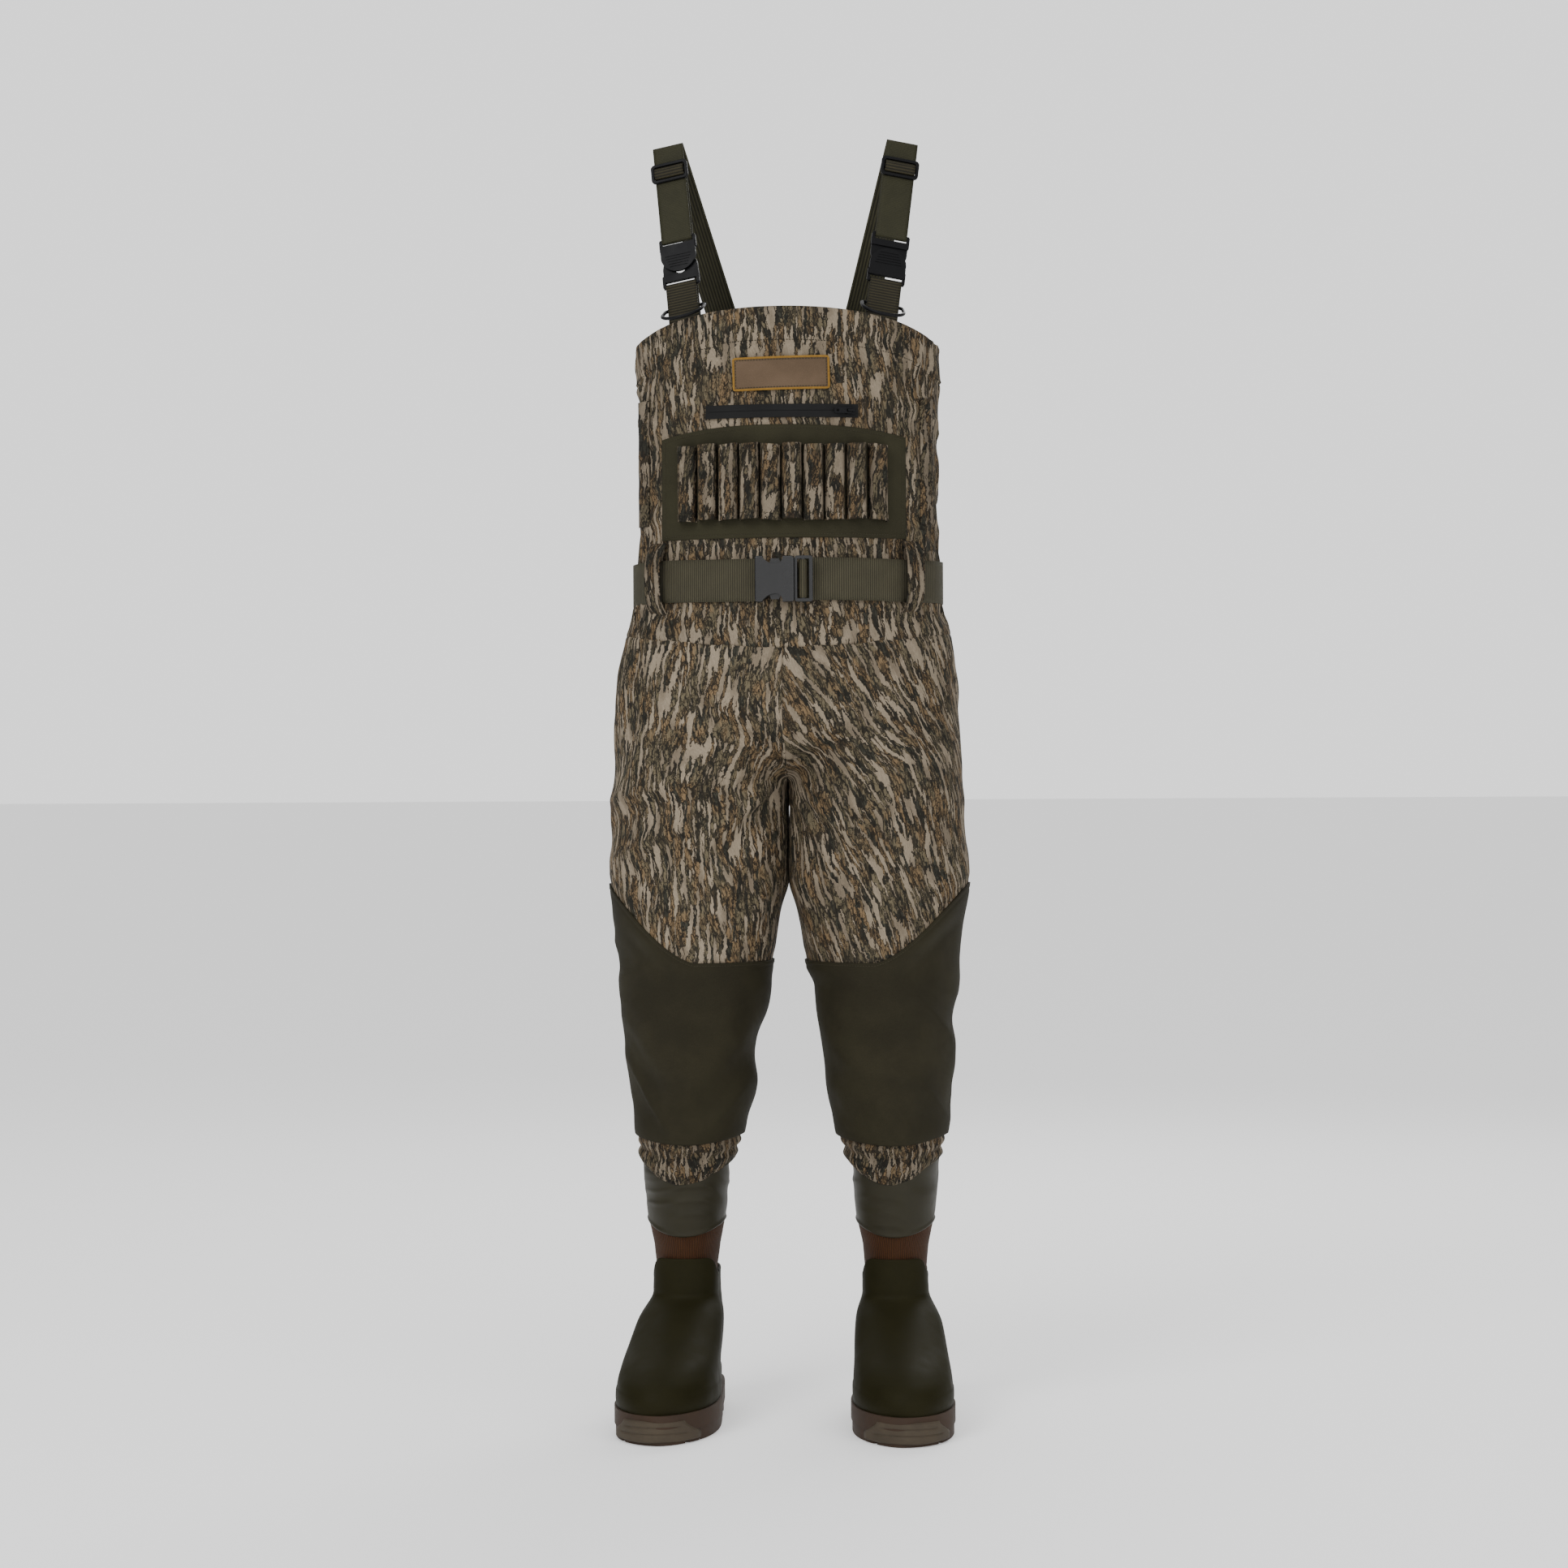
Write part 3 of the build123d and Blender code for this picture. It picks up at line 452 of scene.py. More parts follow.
def bark_camouflage(name, turn=0.0, shift=(0, 0, 0), painted_light=1.0):
    """Printed bark: pale ragged streaks with dark rims over crackled brown and charcoal, on a fine weave."""
    f = Finish(name)
    flat = f.cloth_map((1, 1, 1), turn, shift)
    sway = f.noise(f.cloth_map((12, 7, 1), turn, shift), 1.0, 2.0)
    fray = f.noise(f.cloth_map((280, 150, 1), turn, shift), 1.0, 3.0, 0.65)
    wander = f.math(
        "ADD",
        f.math("MULTIPLY", f.math("SUBTRACT", sway, 0.5), 0.030),
        f.math("MULTIPLY", f.math("SUBTRACT", fray, 0.5), 0.0070),
    )
    offset = f.node("ShaderNodeCombineXYZ", X=wander, Y=f.math("MULTIPLY", fray, 0.02)).outputs[0]
    bent = f.node("ShaderNodeVectorMath", {"operation": "ADD"}, a=flat, b=offset).outputs[0]

    def stretched(x, y, aside=0.0):
        wide = {"a": bent, "b": (x, y, 1.0), "c": (aside, aside, 0.0)}
        return f.node("ShaderNodeVectorMath", {"operation": "MULTIPLY_ADD"}, **wide).outputs[0]

    streak = f.noise(stretched(165, 24), 1.0, 2.0, 0.5)
    zone = f.noise(stretched(38, 16, 7.0), 1.0, 2.0)
    streak = f.math("ADD", streak, f.math("MULTIPLY", f.math("SUBTRACT", zone, 0.5), 0.22))
    pale = f.span(streak, 0.546, 0.557)
    rim = f.math("MULTIPLY", f.span(streak, 0.478, 0.500), 0.85)
    rust = f.span(f.noise(stretched(30, 15, 3.0), 1.0, 3.0, 0.6), 0.44, 0.58)
    dark = f.span(f.noise(stretched(95, 26, 11.0), 1.0, 2.5), 0.565, 0.59)
    crackle = f.cracks(stretched(230, 125, 5.0), 0.04, 0.13)
    broken = f.span(f.noise(stretched(110, 60, 2.0), 1.0, 3.0), 0.36, 0.46)
    furrow = f.cracks(stretched(150, 34, 9.0), 0.01, 0.10)
    grain = f.noise(stretched(800, 260), 1.0, 3.0, 0.7)

    colour = f.mix(rust, srgb(88, 80, 63), srgb(104, 86, 63))
    colour = f.mix(dark, colour, srgb(48, 47, 40))
    colour = f.mix(f.math("MULTIPLY", crackle, f.math("MULTIPLY", broken, 0.9)), colour, srgb(24, 22, 18))
    colour = f.mix(f.math("MULTIPLY", furrow, 0.7), colour, srgb(26, 24, 20))
    colour = f.mix(rim, colour, srgb(30, 28, 24))
    colour = f.mix(pale, colour, f.mix(f.span(zone, 0.4, 0.6), srgb(100, 90, 76), srgb(122, 111, 95)))
    # painted light and shade: the whole print is scaled by a factor that differs from one copy of the same
    # cloth to another
    colour = f.shaded(colour, grain, 0.70 * painted_light, 1.25 * painted_light)
    f.relief(f.noise(f.cloth_map((1800, 1800, 1)), 1.0, 1.0), 0.0004, 0.5)
    return f.finish(colour, 0.85, Specular_IOR_Level=0.12)


def twill(name, base, dark, light, pitch=0.0011):
    """Diagonal weave: thin slanting ridges, with worn and darker clouds."""
    f = Finish(name)
    ridge = f.ripple(f.cloth_map((1, 1, 1), math.radians(38)), pitch)
    clouds = f.noise(f.cloth_map((9, 9, 1)), 1.0, 4.0, 0.6)
    fuzz = f.noise(f.cloth_map((900, 900, 1)), 1.0, 2.0)
    colour = f.mix(f.span(clouds, 0.35, 0.65), dark, base)
    colour = f.mix(f.math("MULTIPLY", f.span(fuzz, 0.5, 0.8), 0.35), colour, light)
    f.relief(f.math("ADD", f.math("MULTIPLY", ridge, 0.6), fuzz), 0.0004, 0.6)
    return f.finish(colour, 0.8, Specular_IOR_Level=0.15)


def webbing(name, base, dark, rib, along=True, depth=0.0005):
    """Woven band: ribs of the given pitch, across the length or along it, on a fine weave; the grooves
    between the ribs get painted shade.
    """
    f = Finish(name)
    ribs = f.ripple(f.cloth_map((1, 1, 1), math.radians(90) if along else 0.0), rib)
    fine = f.ripple(f.cloth_map((1, 1, 1), 0.0 if along else math.radians(90)), 0.0009)
    fuzz = f.noise(f.cloth_map((700, 700, 1)), 1.0, 3.0)
    clouds = f.noise(f.cloth_map((30, 30, 1)), 1.0, 3.0)
    # painted shade: the grooves between the ribs take the dark colour, the rib tops the base colour
    colour = f.mix(f.span(ribs, 0.1, 0.8), dark, base)
    colour = f.shaded(colour, f.math("MULTIPLY", f.math("ADD", fuzz, clouds), 0.5), 0.75, 1.2)
    height = f.math("ADD", ribs, f.math("MULTIPLY", f.math("ADD", fine, fuzz), 0.3))
    f.relief(height, depth, 0.9)
    return f.finish(colour, 0.7, Specular_IOR_Level=0.2)


def plain(name, colour, roughness, mottling=0.12, grain=900.0, bump=0.00008, **constants):
    """Moulded or coated surface: slight change of tone and a fine grain, in the object's own space."""
    f = Finish(name)
    tone = f.noise(f.space((40, 40, 40)), 1.0, 3.0)
    fine = f.noise(f.space((grain, grain, grain)), 1.0, 2.0)
    f.relief(fine, bump, 0.6)
    colour = f.shaded(colour, tone, 1 - mottling, 1 + mottling)
    return f.finish(colour, f.remap(tone, 0.3, 0.7, roughness - 0.06, roughness + 0.06), **constants)


# The last number is painted light and shade: the same cloth is made brighter on the trouser halves (1.24,
# 1.12) than on the bib (1.06), and darker on the small pieces (0.88).
CAMO_BIB = bark_camouflage("camo_bib", 0.0, (0.71, 0.29, 0), 1.06)
CAMO = bark_camouflage("camo", math.radians(4), (0, 0, 0), 1.24)
CAMO_TURNED = bark_camouflage("camo_turned", math.radians(-24), (0.37, 0.81, 0), 1.12)
# painted shade: this copy is dimmed to 0.88 so that the tubes, loops, welts, yoke and cuffs look shadowed
CAMO_SMALL_PAINTED_SHADE = bark_camouflage("camo_small_painted_shade", 0.0, (0.13, 0.55, 0), 0.88)
LINING = plain("lining", srgb(34, 32, 25), 0.9, Specular_IOR_Level=0.1)
OLIVE = twill("olive_twill", srgb(45, 43, 29), srgb(38, 36, 24), srgb(62, 59, 42))
KNEE = twill("knee_twill", srgb(40, 37, 24), srgb(33, 30, 19), srgb(54, 50, 34))
# The second colour of each webbing is the painted shade in its rib grooves.
BELT = webbing("belt_webbing_cloth", srgb(68, 64, 48), srgb(42, 40, 29), 0.0027)
STRAP_FRONT = webbing("strap_webbing_front", srgb(44, 43, 27), srgb(36, 35, 21), 0.0016, depth=0.0002)
STRAP_REAR = webbing("strap_webbing_rear", srgb(56, 54, 37), srgb(28, 27, 17), 0.0038, along=False)
TAB = webbing("strap_webbing_tab", srgb(48, 44, 29), srgb(24, 22, 14), 0.0034)
THREAD = plain("thread", srgb(50, 47, 34), 0.8, Specular_IOR_Level=0.2)
DARK_THREAD = plain("dark_thread", srgb(30, 28, 21), 0.8, Specular_IOR_Level=0.2)
BADGE = twill("badge_cloth", srgb(92, 76, 60), srgb(80, 65, 50), srgb(112, 96, 78), 0.0009)
GOLD = webbing("badge_border", srgb(168, 128, 56), srgb(112, 80, 30), 0.0011, depth=0.0006)
ZIP_TAPE = plain("zip_tape", srgb(13, 13, 13), 0.7, Specular_IOR_Level=0.2)
PLASTIC = plain("dark_plastic", srgb(19, 19, 20), 0.26, 0.1, 1500.0, 0.00002, Specular_IOR_Level=0.5)
BLACK_PLASTIC = plain("clip_plastic", srgb(9, 9, 11), 0.5, 0.1, 1500.0, 0.00005, Specular_IOR_Level=0.14)
RUBBER = plain("boot_rubber", srgb(32, 30, 16), 0.58, 0.08, 700.0, 0.00004, Specular_IOR_Level=0.05)
BAND_RUBBER = plain("band_rubber", srgb(37, 34, 21), 0.5, 0.1, 700.0, 0.00006, Specular_IOR_Level=0.2)
SOLE = plain("sole_rubber", srgb(54, 41, 31), 0.7, 0.15, 500.0, 0.0001, Specular_IOR_Level=0.2)
BUMPER = plain("bumper_rubber", srgb(66, 58, 47), 0.7, 0.15, 500.0, 0.0001, Specular_IOR_Level=0.2)
INSOLE = plain("insole_foam", srgb(60, 60, 56), 0.95)
STRETCH = webbing("stretch_band", srgb(74, 44, 18), srgb(34, 19, 8), 0.0022, along=False, depth=0.0009)


# ---------------------------------------------------------------- placing

def keep(node, material):
    """Show a CAD node with a finish of its own."""
    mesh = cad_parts[node].data
    mesh.materials.clear()
    mesh.materials.append(material)
    mesh.polygons.foreach_set("material_index", [0] * len(mesh.polygons))


def onto(piece, body, nodes=()):
    """Ride a body and stand for CAD nodes."""
    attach(piece, body)
    return stand_for(piece, nodes)


def bend(piece, upper, lower, start, end, nodes=(), slot=None):
    """Bake the piece's placement into its mesh and stand for CAD nodes."""
    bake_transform(piece)
    return stand_for(piece, nodes)


def stand_for(piece, nodes):
    if nodes:
        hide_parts(*nodes)
    return piece


# ---------------------------------------------------------------- bib

def seam_height(x):
    """Waist seam: 914 mm up at the middle, 931 mm at the sides."""
    return 0.914 + 0.017 * np.clip(np.abs(x) / WAIST_HALF_X, 0, 1) ** 1.6


def hem_height(x, y):
    """Top edge of the bib: arched at the front, lower at the back, its corners rounded off."""
    share = np.clip(np.abs(x) / BIB_HALF_X, 0, 1)
    from_front = y - AXIS_Y + BIB_HALF_Y
    return TOP_Z - 0.018 * share**2.2 - 0.13 * from_front - 0.005 * ease(share, 0.68, 1.0)


def bib_outward(angle, half_x=BIB_HALF_X, half_y=BIB_HALF_Y):
    """Level unit normal of the bib's ellipse; the angle is 0 at the back, a quarter turn at the left."""
    return unit(np.stack([np.sin(angle) / half_x, np.cos(angle) / half_y, 0 * half_x * angle], axis=-1))


def bib_level(angle, z, out=0.0):
    """Point of the bib's ellipse at a height, moved outwards."""
    half_x, half_y = soft_profile(BIB, z)
    spot = (half_x * np.sin(angle), AXIS_Y + half_y * np.cos(angle), z)
    base = np.stack(np.broadcast_arrays(*spot), axis=-1)
    return base + bib_outward(angle, half_x, half_y) * np.asarray(out)[..., None]


def angle_at(x, z, back=False):
    """Angle of the bib's ellipse where it is x from the middle plane."""
    half_x = soft_profile(BIB, z)[0]
    turn = np.arcsin(np.clip(x / half_x, -1, 1))
    return turn if back else math.pi - turn


def bib_relief(angle, v, z, high):
    """How far each point of the bib's cloth stands off its ellipse."""
    turns = angle / (2 * math.pi)
    x = BIB_HALF_X * np.sin(angle)
    front = np.clip(-np.cos(angle), 0, 1)
    flank = np.abs(np.sin(angle)) ** 3
    from_top = high - z
    behind_panel = ease(front, 0.3, 0.8) * ease(z, 1.035, 1.05) * (1 - ease(z, 1.17, 1.185))
    behind_zip = 0.75 * bump(z, 1.192, 0.018) * front
    under_belt = 0.85 * bump(z, BELT_Z, 0.034)
    hem_front = ease(front, 0.1, 0.5) * ease(z, 1.24, 1.28)
    calm = (1 - behind_panel) * (1 - behind_zip) * (1 - under_belt) * (1 - 0.8 * hem_front)
    bent = waves(turns * 12, z * 9, 7, 12)
    wandering = 1.6 * waves(turns * 10, z * 6, 8, 10)
    broad = waves(turns * 9, z * 7, 1, 9) * 4.5 * MM * (0.35 + 0.65 * flank)
    creases = (folds(turns * 26 + z * 5, z * 16 + bent, 3, 26) - 0.45) * 2.4 * MM
    level = (folds(turns * 14, z * 30 + wandering, 4, 14) - 0.5) * 2.8 * MM
    small = waves(turns * 70, z * 48, 5, 70) * 0.8 * MM
    beside_belt = bump(z, 1.028, 0.02) + bump(z, 0.955, 0.022)
    gathers = (folds(turns * 56, z * 5, 6, 56) - 0.4) * 3.0 * MM * beside_belt
    flutter = waves(turns * 20, z * 3, 9, 20) * 2.2 * MM * ease(z, 1.23, 1.30) * (1 - 0.8 * hem_front)
    ring_room = 2.4 * MM * bump(np.abs(x), 0.120, 0.026) * ease(front, 0.1, 0.3) * ease(z, 1.250, 1.280)
    seam = 1.5 * MM * (ease(v, 0.0, 0.015) - 1)
    hem = 1.1 * MM * (1 - ease(from_top, 0.040, 0.0425)) - 0.8 * MM * bump(from_top, 0.0425, 0.0018)
    roll = 0.9 * MM * bump(from_top, 0.0015, 0.003)
    folded = (broad + (creases + level) * (0.12 + 0.88 * flank) + small + gathers) * calm
    return folded * ease(v, 0.0, 0.10) + flutter - ring_room + seam + hem + roll


def bib_cloth():
    """Tube of cloth from the waist seam to the hem, with its folds, and the hem's row of thread."""
    rows, columns = 132, 352
    angle = np.linspace(0, 2 * math.pi, columns, endpoint=False)[None, :]
    v = np.linspace(0, 1, rows)[:, None]
    low = seam_height(WAIST_HALF_X * np.sin(angle))
    high = hem_height(BIB_HALF_X * np.sin(angle), AXIS_Y + BIB_HALF_Y * np.cos(angle))
    z = low + (high - low) * v
    points = bib_level(angle, z, bib_relief(angle, v, z, high))
    around = np.linspace(0, 2 * math.pi, columns + 1)
    lengths = walk(np.stack([BIB_HALF_X * np.sin(around), BIB_HALF_Y * np.cos(around)], axis=1))
    tall = wrapped(z, columns)
    drawn = waves(np.linspace(0, 24, columns + 1)[None, :], tall * 55, 17, 24) * np.sin(around)[None, :] ** 2
    uv = np.stack([lengths[None, :] + 4.5 * MM * drawn, tall], axis=2)
    piece = grid_piece("bib_cloth", points, uv, [CAMO_BIB, LINING], closed=True)
    onto(thicken(piece, lining=True), "garment", ["bib_shell"])
    row = np.argmin(np.abs((high - z) - 0.0405), axis=0)
    at = (row, np.arange(columns))
    normal = surface_normals(points, True)[at]
    onto(stitches("hem_thread", points[at], normal, DARK_THREAD, closed=True), "garment")


def patch(name, left, right, low, high, out, material, rows=40, columns=90, back=False, thickness=1.2 * MM):
    """Piece of cloth laid on the bib: x from left to right, height from low up to high, a function of x."""
    x = np.linspace(left, right, columns)[None, :]
    v = np.linspace(0, 1, rows)[:, None]
    z = low + (high(x) - low) * v
    edge = np.minimum(np.minimum(v, 1 - v) * rows, np.minimum(x - left, right - x) / (right - left) * columns)
    lift = out + 0.5 * MM * waves(x * 60, z * 60, 12) - 0.6 * MM * (1 - ease(edge, 0, 2.5))
    points = bib_level(angle_at(x, z, back), z, lift)
    piece = grid_piece(name, points, np.stack(np.broadcast_arrays(x, z), axis=2), [material])
    return thicken(piece, thickness), points


def border_stitches(name, points, inset=2):
    """Thread round a grid of points, so many rows and columns in from its edge."""
    rows, columns = points.shape[:2]
    last_row, last_column = rows - 1 - inset, columns - 1 - inset
    places = [(i, inset) for i in range(inset, last_row + 1)]
    places += [(last_row, j) for j in range(inset, last_column + 1)]
    places += [(i, last_column) for i in range(last_row, inset - 1, -1)]
    places += [(inset, j) for j in range(last_column, inset - 1, -1)]
    at = tuple(np.array(places).T)
    onto(stitches(name, points[at], surface_normals(points)[at], THREAD), "garment")


PANEL_X, PANEL_LOW, PANEL_HIGH = 0.144, 1.043, 1.176


def chest():
    """Panel, its ten tubes, badge, pocket welts and yoke."""
    piece, points = patch(
        "shell_panel_cloth", -PANEL_X, PANEL_X, PANEL_LOW,
        lambda x: PANEL_HIGH - 0.013 * np.abs(x / PANEL_X) ** 2.6, 2.2 * MM, OLIVE, 60, 130)
    onto(piece, "garment", ["shell_panel"])
    border_stitches("panel_thread", points)
    shell_tubes()
    badge()
    for name, side in SIDES.items():
        ends = sorted((side * 0.1745, side * 0.1610))
        piece, _ = patch(f"pocket_welt_cloth_{name}", *ends, 1.062, lambda x: 1.212 + 0 * x, 3.0 * MM,
                         CAMO_SMALL_PAINTED_SHADE, 60, 8, thickness=2.2 * MM)
        onto(piece, "garment", [f"pocket_welt_{name}"])
    piece, points = patch("back_yoke_cloth", -0.095, 0.095, 1.205, lambda x: 1.245 + 0 * x, 2.6 * MM,
                          CAMO_SMALL_PAINTED_SHADE, 24, 80, back=True)
    onto(piece, "garment", ["back_yoke"])
    border_stitches("yoke_thread", points)


def tube_shape(i, middle, v, t):
    """One shell tube: across it the cloth stands 12 (1 - |t|^3)^0.6 mm off, doubled at its two hems."""
    low, high, reach = 1.064, 1.153, 12.1 * MM
    wobble = lattice(i, 3, 21)
    z = low + (high - low) * v + 1.2 * MM * wobble + 1.5 * MM * lattice(i, 8, 4) * t
    sway = 0.6 * MM * lattice(i, 5, 2) * np.sin(v * 3 + i)
    across = reach * np.sign(t) * np.abs(t) ** 0.85 + sway * (1 - t**2)
    rise = 12.2 * MM + 1.0 * MM * lattice(i, 1, 7) + 0.7 * MM * waves(v * 4 + i, t + i, 5)
    arch = rise * (1 - np.abs(t) ** 3) ** 0.6 * (1 - 0.10 * bump(t, -0.25 * wobble, 0.5))
    from_end = np.minimum(v, 1 - v)
    hem = 0.9 * MM * (1 - ease(from_end, 0.095, 0.115)) - 0.7 * MM * bump(from_end, 0.11, 0.012)
    angle = angle_at(middle + 0 * t, z)
    half_x, half_y = soft_profile(BIB, z)
    sideways = unit(np.stack([-np.cos(angle) * half_x, np.sin(angle) * half_y, 0 * angle], axis=-1))
    lift = (arch + hem * (arch > 2 * MM))[..., None]
    shape = bib_level(angle, z, 2.6 * MM) + sideways * across[..., None]
    return shape + bib_outward(angle, half_x, half_y) * lift, z


def shell_tubes():
    """Ten upright tubes side by side, each with a row of thread at both hems."""
    count, pitch = 10, 24.6 * MM
    rows, columns, hem_row = 46, 26, 4
    v = np.linspace(0, 1, rows)[:, None]
    t = np.linspace(-1, 1, columns)[None, :]
    hems = []
    for i in range(count):
        points, z = tube_shape(i, (i - (count - 1) / 2) * pitch, v, t)
        girth = walk(points[rows // 2]) + i * 0.071
        uv = np.stack(np.broadcast_arrays(girth[None, :], z), axis=2)
        piece = grid_piece(f"shell_tube_{i + 1}", points, uv, [CAMO_SMALL_PAINTED_SHADE, LINING])
        onto(thicken(piece, 1.4 * MM, lining=True), "garment", ["shell_loops"])
        normal = surface_normals(points)
        hems += [(points[row, 2:-2], normal[row, 2:-2]) for row in (hem_row, rows - 1 - hem_row)]
    for i, (line, normal) in enumerate(hems):
        outward = normal * np.sign(-normal[len(normal) // 2, 1])
        onto(stitches(f"tube_thread_{i + 1}", line, outward, THREAD), "garment")


def badge():
    """Blank woven badge, tilted a little, with an overlocked border."""
    middle_z, half_w, half_h, tilt = 1.2362, 0.0555, 0.0185, math.radians(1.2)
    t = np.linspace(0, 2 * math.pi, 221)[:-1]
    squareness = 0.06
    ring = np.stack([
        half_w * np.sign(np.cos(t)) * np.abs(np.cos(t)) ** squareness,
        half_h * np.sign(np.sin(t)) * np.abs(np.sin(t)) ** squareness,
    ], axis=1)
    walked = walk(ring)
    ring = along(ring, walked, np.linspace(0, walked[-1], 260)[:-1])

    def laid(x, z, out):
        turned_x = x * math.cos(tilt) - z * math.sin(tilt)
        turned_z = middle_z + x * math.sin(tilt) + z * math.cos(tilt)
        return bib_level(angle_at(turned_x, turned_z), turned_z, out + 0 * turned_x)

    share = np.linspace(0, 1, 22)[:, None]
    x, z = ring.T
    uv = np.stack([looped(x)[None, :] * share, looped(z)[None, :] * share], axis=2)
    points = laid(x[None, :] * share, z[None, :] * share, 2.6 * MM)
    piece = grid_piece("badge_field", points, uv, [BADGE], closed=True, weld=True)
    onto(thicken(piece, 1.6 * MM), "garment", ["chest_badge"])
    rim = laid(x, z, 2.4 * MM)
    normal = unit(laid(x, z, 3.4 * MM) - rim)
    onto(wire_ring("badge_border_cord", rim, normal, 1.35 * MM, GOLD), "garment", ())
    line = laid(x * 0.955, z * 0.87, 2.7 * MM)
    onto(stitches("badge_thread", line, normal, THREAD, closed=True), "garment")


# ---------------------------------------------------------------- belt

def belt_loop(number, x, back):
    """Upright camouflage loop over the belt, x from the middle plane."""
    middle, half_height = 0.998, 0.042
    z = np.linspace(middle - half_height, middle + half_height, 60)
    t = (z - middle) / half_height
    lift = 1.6 * MM + 12.5 * MM * np.clip(1 - np.abs(t) ** 3.2, 0, 1) ** 0.9
    turn = angle_at(x, BELT_Z, back)
    out = bib_outward(turn)
    base = np.array([BIB_HALF_X * math.sin(turn), AXIS_Y + BIB_HALF_Y * math.cos(turn), 0])
    path = base + out * lift[:, None] + np.array([0, 0, 1]) * z[:, None]
    level = np.array([out[1], -out[0], 0])
    piece = ribbon(f"belt_loop_{number}", path, level, 25 * MM, 1.6 * MM, [CAMO_SMALL_PAINTED_SHADE])
    onto(piece, "garment", ["belt_loops"])


def belt():
    """Webbing round the waist, the five loops that hold it, and its fold at the buckle."""
    half_x, half_y, gap = 0.1862, 0.1202, 0.0225
    start = math.asin(gap / half_x)
    angle = np.linspace(math.pi + start, 3 * math.pi - start, 460)
    height = BELT_Z + 0.6 * MM * np.sin(angle * 5)
    path = np.stack([half_x * np.sin(angle), AXIS_Y + half_y * np.cos(angle), height], axis=1)
    piece = ribbon("belt_cloth", path, (0, 0, 1), 50 * MM, 2.4 * MM, [BELT])
    onto(piece, "garment", ["belt_webbing"])
    places = ((0.148, False), (-0.148, False), (0.118, True), (-0.118, True), (0.0, True))
    for number, (x, back) in enumerate(places, 1):
        belt_loop(number, x, back)
    fold_x, face = 0.0256, AXIS_Y - 0.128
    t = np.linspace(-1, 1, 41)
    turned = face + 3.0 * MM - 8.2 * MM * (1 - t**2) ** 0.7
    path = np.stack([fold_x + 5.2 * MM * t, turned, np.full_like(t, BELT_Z)], axis=1)
    piece = ribbon("belt_fold_cloth", path, (0, 0, 1), 45 * MM, 1.4 * MM, [BELT])
    onto(piece, "buckle_male", ["belt_fold"])


# ---------------------------------------------------------------- legs

def leg_level(u, z, out=0.0, table=LEG):
    """Left leg's ellipse; u is 0 at the outer side, -90 degrees at the front."""
    centre, half_x, half_y, centre_y = soft_profile(table, z)
    spot = (centre + (half_x + out) * np.cos(u), AXIS_Y + centre_y + (half_y + out) * np.sin(u), z)
    return np.stack(np.broadcast_arrays(*spot), axis=-1)


def sleeve_grid(rows, columns):
    """Angle round a sleeve, share of the way down it, and the angle as a share of a turn."""
    u = np.linspace(-math.pi, math.pi, columns, endpoint=False)[None, :]
    return u, np.linspace(0, 1, rows)[:, None], (u + math.pi) / (2 * math.pi)


def sleeve(name, side, points, z, radius, materials):
    """Closed sleeve on the left or right, mapped by its angle times the radius and by the height."""
    columns = points.shape[1]
    girth = np.linspace(-math.pi, math.pi, columns + 1)[None, :] * radius
    uv = np.stack(np.broadcast_arrays(girth, wrapped(z, columns)), axis=2)
    points = mirrored(points) if side < 0 else points
    return grid_piece(name, points, uv, materials, closed=True)


def knee_seam(u):
    """Height where the camouflage ends: 635 mm outside, curving down to 545 mm in front and inside."""
    return 0.543 + 0.092 * np.clip((np.cos(u) + 0.10) / 1.10, 0, 1) ** 1.6


def trouser_base(u, z):
    """Half ellipse of the hips, turning into the leg's ellipse at the crotch."""
    leg = leg_level(u, z)
    hip_x, hip_y = soft_profile(HIPS, z)
    spot = (hip_x * np.cos(u / 2), AXIS_Y + hip_y * np.sin(u / 2), z)
    hip = np.stack(np.broadcast_arrays(*spot), axis=-1)
    t = np.clip((z - CROTCH_Z) / 0.088, 0, 1)
    inner = (np.abs(u) / math.pi) ** 6
    share = inner * np.sqrt(1 - (1 - t) ** 2) + (1 - inner) * ease(t)
    return beside_middle(leg + (hip - leg) * share[..., None], z)


def beside_middle(points, z):
    """Points below the crotch kept just on their own side of the middle plane."""
    points[..., 0] = np.maximum(points[..., 0], 0.3 * MM * (z < CROTCH_Z))
    return points


